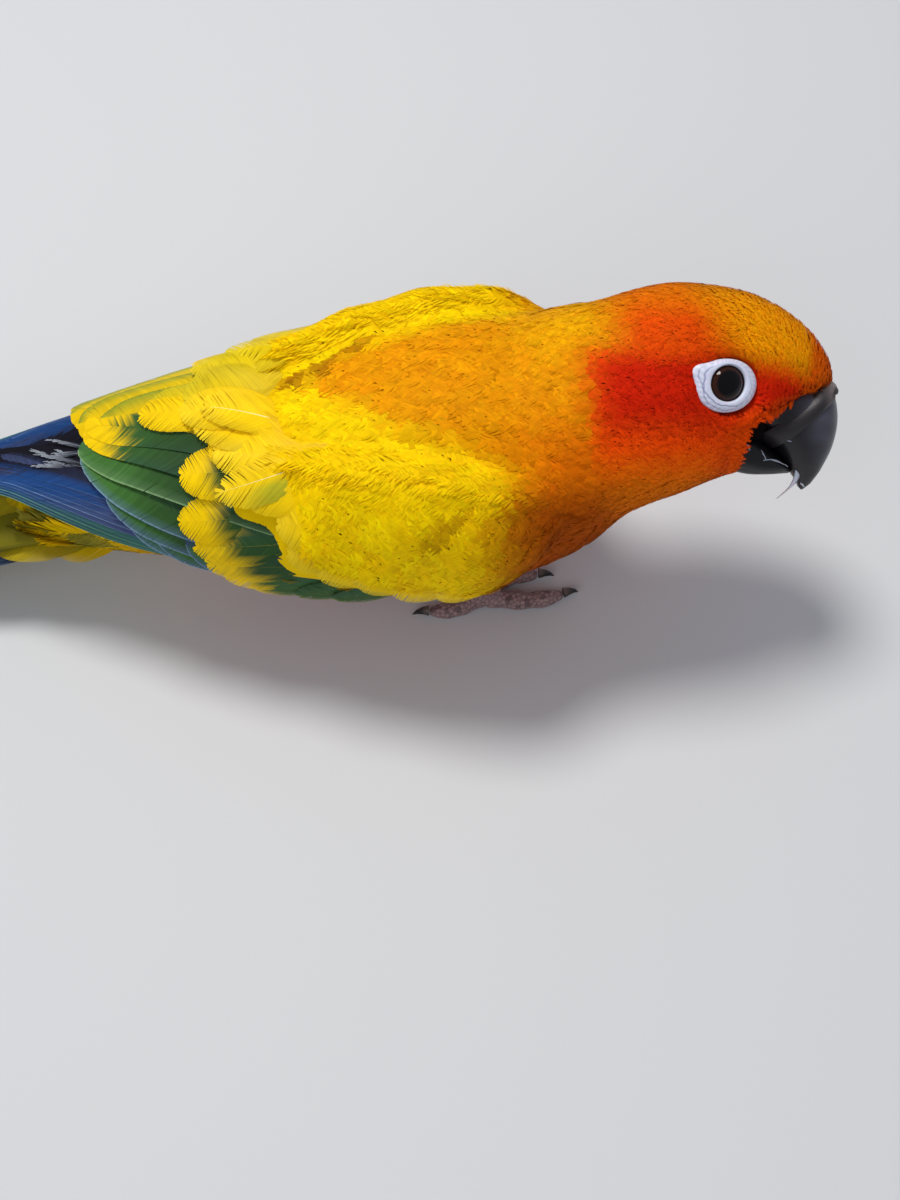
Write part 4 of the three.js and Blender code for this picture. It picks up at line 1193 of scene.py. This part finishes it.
stump = bmesh.new()
turn = np.radians(np.arange(0, 360, 15))
rings = []
for x, z, wide, up, down in STUMP:
    high = np.where(np.cos(turn) > 0, up, down)
    rings.append(np.stack([np.full(24, x + FORWARD), wide * np.sin(turn), z + high * np.cos(turn)], -1))
bridge_rings(stump, rings)
set_tint(solid_piece("tail_root", stump, tail_finish, "tail_feathers").data, OLIVE_YELLOW * 0.6)


# Eyes: dark wet balls seated so deep that only their middle shows, with a black pupil and a
# brown iris round it.
EYE_BROWN = paint(60, 30, 18)
EYE_BLACK = paint(7, 5, 8)
EYE_RADIUS = 3.8
EYE_SUNK = 2.65
# The seat lies a little behind and above the eye's place, and looks a little forwards.
SEAT_SHIFT = (-1.0, 0, 0.55)
SEAT_AHEAD = math.radians(17)
eye_finish = tinted_finish("eye", {"Roughness": 0.04, "IOR": 1.33, "Specular IOR Level": 0.4})


def in_seat(side, right, up, out):
    """A point beside an eye's seat: so far forwards, upwards and out of the head."""
    aim = unit(np.array([math.sin(SEAT_AHEAD), side * math.cos(SEAT_AHEAD), 0.08]))
    forward = unit(np.array([1.0, 0, 0]) - aim * aim[0])
    upward = np.cross(forward, aim) * side
    place = EYE_AT * (1, side, 1) + SEAT_SHIFT
    return from_head(place + np.multiply.outer(right, forward) + np.multiply.outer(up, upward)
                     + np.multiply.outer(out, aim))


for label, side in SIDES:
    ball = bmesh.new()
    bmesh.ops.create_uvsphere(ball, u_segments=64, v_segments=40, radius=EYE_RADIUS)
    local = points_of(ball.verts, 1)
    move_to(ball.verts, in_seat(side, local[:, 0], local[:, 1], local[:, 2] - EYE_SUNK))
    turn_outwards(ball)
    eye = solid_piece("eyeball_" + label, ball, eye_finish, "eye_dark", "eye_" + label)
    away = np.hypot(local[:, 0], local[:, 1])
    ray = 0.5 + 0.5 * np.sin(23 * np.arctan2(local[:, 1], local[:, 0]))
    iris = ramp(away, 2.05, 2.3) * ramp(-away, -3.1, -2.9) * (0.6 + 0.2 * ray)
    set_tint(eye.data, mixed(EYE_BLACK, EYE_BROWN, iris))


# Eye rings: bare pale blue-white skin in fine folds round each eye, spun from one profile and
# drawn out to a point behind.
RING_PALE = paint(224, 228, 246)
RING_FOLD_SHADE = paint(112, 118, 160)
LID_EDGE = paint(60, 54, 72)
# The profile, closed from end to end: share along it, distance from the eye's middle, height.
LIDS = np.array([
    (0, 3.12, -0.8), (0.07, 3.02, -0.3), (0.14, 3.05, 0.08), (0.25, 3.25, 0.4), (0.4, 3.6, 0.44),
    (0.55, 3.95, 0.3), (0.7, 4.3, 0.04), (0.83, 4.62, -0.4), (0.93, 4.62, -0.95), (1, 4.2, -1.2),
])
RING_TURNS = 180
lid_finish = tinted_finish(
    "bare_skin", {"Roughness": 0.46, "Subsurface Weight": 0.12, "Subsurface Scale": 0.0006},
    1500, 0.12, bump=0.25)

for label, side in SIDES:
    ring = bmesh.new()
    profile = along(LIDS, np.linspace(0, 1, 42))
    made = [ring.verts.new((r, 0, h)) for _, r, h in profile]
    edges = [ring.edges.new(pair) for pair in zip(made, made[1:] + made[:1])]
    bmesh.ops.spin(ring, geom=edges + made, cent=(0, 0, 0), axis=(0, 0, 1), angle=2 * math.pi,
                   steps=RING_TURNS, use_merge=True)
    bmesh.ops.remove_doubles(ring, verts=ring.verts, dist=1e-4)
    local = points_of(ring.verts, 1)
    high = local[:, 2]
    away = np.hypot(local[:, 0], local[:, 1])
    turn = np.arctan2(local[:, 1], local[:, 0])
    # Two folds run round the ring, with beads at its inner edge and fine creases across it.
    on_top = ramp(high, -0.6, -0.1) * ramp(away, 3.02, 3.2)
    waver = 0.1 * np.sin(3 * turn + 1) + 0.07 * np.sin(7 * turn) + 0.03 * np.sin(19 * turn + 2)
    behind = 0.35 + 0.65 * ramp(-np.cos(turn + side * 0.7), -0.2, 0.8)
    groove = np.exp(-((away + waver - 3.82) / 0.07) ** 2) * behind
    second = np.exp(-((away - waver - 4.22) / 0.06) ** 2) * ramp(behind, 0.5, 0.95)
    beads = 0.1 * np.sin(52 * turn + 2 * np.sin(5 * turn)) * ramp(-away, -3.3, -3.05)
    cross = 0.16 * np.sin(31 * turn + 5 * away + 2 * np.sin(4 * turn)) * ramp(away, 3.5, 4.3)
    relief = on_top * (beads + cross - groove - 0.8 * second)
    point = np.maximum(np.cos(turn - 2.72), 0) ** 26
    wide = (0.75 * np.cos(turn) ** 2 - 0.5 * np.maximum(np.sin(turn), 0)
            + 0.25 * np.maximum(-np.sin(turn), 0))
    reach = away + (wide + 1.3 * point) * np.maximum(away - 3.2, 0) / 1.4
    move_to(ring.verts, in_seat(side, reach * np.cos(turn), reach * np.sin(turn) * 0.95,
                                high + 0.1 * relief))
    turn_outwards(ring)
    lids = solid_piece("eye_ring_" + label, ring, lid_finish, "eye_ring_skin", "eyelids_" + label)
    # Painted shade and light: the ring is darker in its grooves and a little paler on its raised beads and
    # creases.
    colour = mixed(RING_PALE, RING_FOLD_SHADE, np.clip(0.12 - 0.75 * relief, 0, 0.8))
    set_tint(lids.data, mixed(colour, LID_EDGE, ramp(-high, -0.12, 0.1) * ramp(-away, -3.4, -3.2)))


# Bill: two curved cups of dark horn, smooth and softly shining, the upper one hooked over the
# lower. A pale dry flake curls off the inside of the hook, and the horn peels in fine cracks.
# Share along the horn, x and z of its ridge, x and z of its edge, half width.
UPPER_BILL = np.array([
    (-0.6, 20.6, 2.4, 8.2, -2.6, 6.6), (-0.12, 24.0, 1.9, 12.2, -5.0, 7.1),
    (0, 25.2, 0.8, 13.4, -6.4, 7.2), (0.3, 26.1, -3.2, 16.0, -9.4, 6.3),
    (0.6, 25.6, -7.8, 18.1, -11.9, 4.9), (0.85, 23.9, -12.2, 19.6, -13.9, 3.0),
    (0.94, 22.9, -13.9, 20.2, -14.9, 2.0), (0.98, 22.1, -15.1, 20.5, -15.7, 1.2),
    (1, 21.5, -15.6, 20.9, -15.9, 0.4),
])
LOWER_BILL = np.array([
    (-0.5, 7.6, -4.2, 3.6, -10.6, 5.4), (0, 12.4, -6.2, 7.0, -11.9, 6.5),
    (0.4, 15.6, -8.9, 10.6, -12.9, 5.8), (0.75, 18, -11.0, 14, -13.0, 4.4),
    (1, 18.9, -12.2, 17.7, -12.9, 2.2),
])
HORN_DARK = paint(28, 26, 32)
HORN_BLACK = paint(14, 13, 18)
HORN_PALE = paint(82, 84, 98)
HORN_SIDES = 48
horn_finish = tinted_finish(
    "bill_horn",
    {"Roughness": 0.36, "Specular IOR Level": 0.38, "Coat Weight": 0.12, "Coat Roughness": 0.18},
    420, 0.5, bump=0.35)


def horn_rings(stations, count, sides):
    """Rings of a curved cup, each a rounded section between a ridge and an edge."""
    rings = []
    turn = np.radians(np.arange(sides) * 360 / sides)
    bow = lambda v: np.sign(v) * np.abs(v) ** 0.85
    for t in np.linspace(stations[0, 0], 1, count):
        _, rx, rz, ex, ez, wide = along(stations, np.array(t))
        share = (0.5 + 0.5 * bow(np.cos(turn)))[:, None]
        p = np.array([ex, 0, ez]) * (1 - share) + np.array([rx, 0, rz]) * share
        p[:, 1] = wide * bow(np.sin(turn))
        rings.append(from_head(p))
    return rings


for name, stations, count in (("bill_upper", UPPER_BILL, 44), ("bill_lower", LOWER_BILL, 30)):
    horn = bmesh.new()
    bridge_rings(horn, horn_rings(stations, count, HORN_SIDES))
    made = solid_piece("horn_" + name, horn, horn_finish, "bill_horn", name)
    h = in_head(points_of(made.data.vertices))
    ridge = ramp(h[:, 0] + 0.5 * h[:, 2], 15.5, 20.5) * (0.85 + 0.15 * np.sin(h[:, 2] * 1.7))
    near_face = ramp(-(h[:, 0] + 0.2 * h[:, 2]), -18.5, -13.5)
    colour = mixed(HORN_DARK, HORN_PALE, 0.75 * ridge * (name == "bill_upper"))
    set_tint(made.data, mixed(colour, HORN_BLACK, 0.85 * near_face))

# Share along the flake, its place on the head and its half width, and its section.
FLAKE = np.array([
    (0, 19.2, -3.2, -10.4, 0.5), (0.3, 19.6, -2.7, -12.5, 0.75), (0.6, 19.0, -2.4, -14.5, 0.8),
    (0.85, 17.6, -2.3, -16.0, 0.6), (1, 16.4, -2.2, -17.0, 0.25),
])
CUP = [(-1, 0), (-0.5, -0.22), (0, -0.3), (0.5, -0.22), (1, 0), (0.5, -0.1), (0, -0.16), (-0.5, -0.1)]
flake = bmesh.new()
rings = []
for t in np.linspace(0, 1, 22):
    _, hx, hy, hz, wide = along(FLAKE, np.array(t))
    rings.append(from_head(np.array([(hx + a * wide * 0.8, hy + b, hz + a * wide * 0.45) for a, b in CUP])))
bridge_rings(flake, rings)
flake_finish = bpy.data.materials.new("dry_flake")
flake_finish.use_nodes = True
flake_look = flake_finish.node_tree.nodes["Principled BSDF"].inputs
flake_look["Base Color"].default_value = (0.5, 0.52, 0.62, 1)
flake_look["Roughness"].default_value = 0.4
flake_look["Subsurface Weight"].default_value = 0.4
flake_look["Subsurface Scale"].default_value = 0.0005
solid_piece("bill_flake", flake, flake_finish, "bill_horn")

# Pale cracks and chips where the horn peels, each a thin raised sliver lying on the bill: which
# horn, half width, and the spots on the head that it runs through.
CRACKS = [
    ("lower", 0.16, [(12.8, -5.5, -10.0), (15.2, -5.3, -9.8), (17.2, -4.6, -10.2), (18.8, -3.4, -11.0)]),
    ("lower", 0.12, [(12.8, -6, -8.0), (13.0, -5.8, -9.0), (13.3, -5.5, -10.0)]),
    ("lower", 0.2, [(10.1, -6.5, -6.6), (10.3, -6.4, -7.4), (10.5, -6.3, -8.2)]),
    ("upper", 0.14, [(15.8, -6, -6.6), (16.6, -6, -6.8), (17.4, -6, -6.8)]),
    ("upper", 0.22, [(20.6, -1.5, -14.2), (20.9, -1.4, -14.6), (21.1, -1.2, -14.9)]),
]
SLIVER = [(1, 0), (0.7, 0.5), (0, 0.7), (-0.7, 0.5), (-1, 0), (-0.7, -0.5), (0, -0.7), (0.7, -0.5)]
SLIVER_STOPS = 10
SLIVER_HIGH = 0.1
slivers = bmesh.new()
for which, wide, through in CRACKS:
    horn_mesh = bpy.data.objects["horn_bill_" + which].data
    horn_tree = BVHTree.FromPolygons([v.co[:] for v in horn_mesh.vertices],
                                     [p.vertices[:] for p in horn_mesh.polygons])
    line = np.array(through, float)
    t = np.linspace(0, len(line) - 1, SLIVER_STOPS)
    line = np.stack([np.interp(t, np.arange(len(line)), line[:, n]) for n in range(3)], -1)
    rings = []
    for n, p in enumerate(from_head(line)):
        found, out, _, _ = horn_tree.find_nearest(p * MM)
        found, out = np.array(found[:]) * PER_METRE, np.array(out[:])
        ahead = line[min(n + 1, SLIVER_STOPS - 1)] - line[max(n - 1, 0)]
        across = unit(np.cross(out, from_head(ahead) - from_head(ahead * 0)))
        thin = wide * (0.25 + 0.75 * math.sin(math.pi * (n + 0.5) / SLIVER_STOPS))
        thin = thin * (1 + 0.4 * math.sin(5.0 * n))
        rings.append(np.array([found + across * a * thin + out * b * SLIVER_HIGH for a, b in SLIVER]))
    bridge_rings(slivers, rings)
solid_piece("bill_cracks", slivers, flake_finish, "bill_horn")


# Cere: the band of bare grey-brown skin over the bill's root, a short cup like the bill's own,
# with a round nostril pressed into it on each side.
CERE = np.array([
    (-0.6, 23.4, 3.3, 11.6, -6.6, 6.6), (0, 24.9, 2.8, 13.0, -7.4, 7.4),
    (0.5, 25.6, 2.1, 13.9, -8.0, 7.5), (1, 25.6, 1.2, 14.5, -8.6, 7.2),
])
NOSTRIL_AT = np.array([24.6, 4.6, 0.9])
CERE_GREY = paint(104, 92, 92)
CERE_DARK = paint(24, 22, 27)
cere = bmesh.new()
bridge_rings(cere, horn_rings(CERE, 22, 72))
local = in_head(points_of(cere.verts))
pit = np.zeros(len(local))
for side in (-1, 1):
    far = np.linalg.norm(local - NOSTRIL_AT * (1, side, 1), axis=1)
    rim = ramp(-far, -1.7, -1.1) * ramp(far, 0.7, 1.1)
    local = local - np.array([0.9, 0, 0]) * (ramp(-far, -0.95, -0.45) * 1.5)[:, None]
    local = local + np.array([0.25, side * 0.1, 0.1]) * rim[:, None]
    pit = np.maximum(pit, ramp(-far, -1.0, -0.7))
move_to(cere.verts, from_head(local))
turn_outwards(cere)
cere_piece = solid_piece("cere_skin", cere, lid_finish, "cere_skin", "cere")
colour = mixed(CERE_GREY, CERE_DARK, 0.95 * ramp(-local[:, 0], -24.6, -22))
# Painted shade: black in each nostril's pit.
set_tint(cere_piece.data, mixed(colour, EYE_BLACK, pit))


# Legs and feet: short scaly shanks and two toes forwards, two back, with small round scales above
# and beaded pads below. The claws are curved dark horn, pale at the root. All of them are copies
# of their solids, evened and rounded, and the scales are small domes raised on the skin.
FOOT_GREY = paint(150, 124, 124)
FOOT_DARK = paint(72, 56, 60)
FOOT_PINK = paint(184, 150, 146)
CLAW_DARK = paint(30, 27, 28)
CLAW_PALE = paint(104, 94, 88)
FOOT_VOXEL = 0.00026
CLAW_VOXEL = 0.00014
SCALE_GAP = 0.75
PAD_GAP = 0.95
SCALE_HIGH = 0.13
ON_FLOOR = 0.00004
foot_finish = tinted_finish("scaly_skin", {"Roughness": 0.52}, 900, 0.4)

for label, _ in SIDES:
    foot = run_together(copies_of(("foot_" + label, "shank_" + label)), FOOT_VOXEL, 5)
    at = points_of(foot.verts)
    out = np.array([v.normal[:] for v in foot.verts])
    draw = np.random.default_rng(51)
    order = draw.permutation(len(at))
    middles = spaced(at, np.where(out[:, 2] > -0.3, SCALE_GAP, PAD_GAP), order)
    cells = search_tree(middles)
    shade = draw.uniform(0, 1, len(middles))
    dome = np.empty(len(at))
    tone = np.empty(len(at))
    for i, p in enumerate(at):
        (_, first, near), (_, _, next_near) = cells.find_n(p, 2)
        dome[i] = ramp(np.array(next_near - near), 0.0, 0.3)
        tone[i] = shade[first]
    for v, d in zip(foot.verts, dome):
        v.co += v.normal * MM * SCALE_HIGH * (d - 0.6)
        v.co.z = max(v.co.z, ON_FLOOR)
    foot.normal_update()
    made = solid_piece("scaly_foot_" + label, foot, foot_finish, "foot_scales",
                       "foot_" + label, "shank_" + label)
    colour = mixed(FOOT_GREY, FOOT_PINK, np.clip(0.7 * tone, 0, 1))
    colour = mixed(colour, FOOT_DARK, np.where(tone > 0.8, 0.7, 0.0) * ramp(out[:, 2], -0.1, 0.4))
    set_tint(made.data, mixed(colour, FOOT_DARK, 0.75 * (1 - dome)))
    for toe in "1234":
        name = label + "_" + toe
        claw = run_together(copies_of(("claw_" + name,)), CLAW_VOXEL, 3)
        made = solid_piece("claw_horn_" + name, claw, horn_finish, "claw_horn", "claw_" + name)
        at = points_of(claw.verts)
        far = np.linalg.norm(at - at[np.argmax(at[:, 2])], axis=1)
        set_tint(made.data, mixed(CLAW_PALE, CLAW_DARK, ramp(far, 0.4, 2.0)))
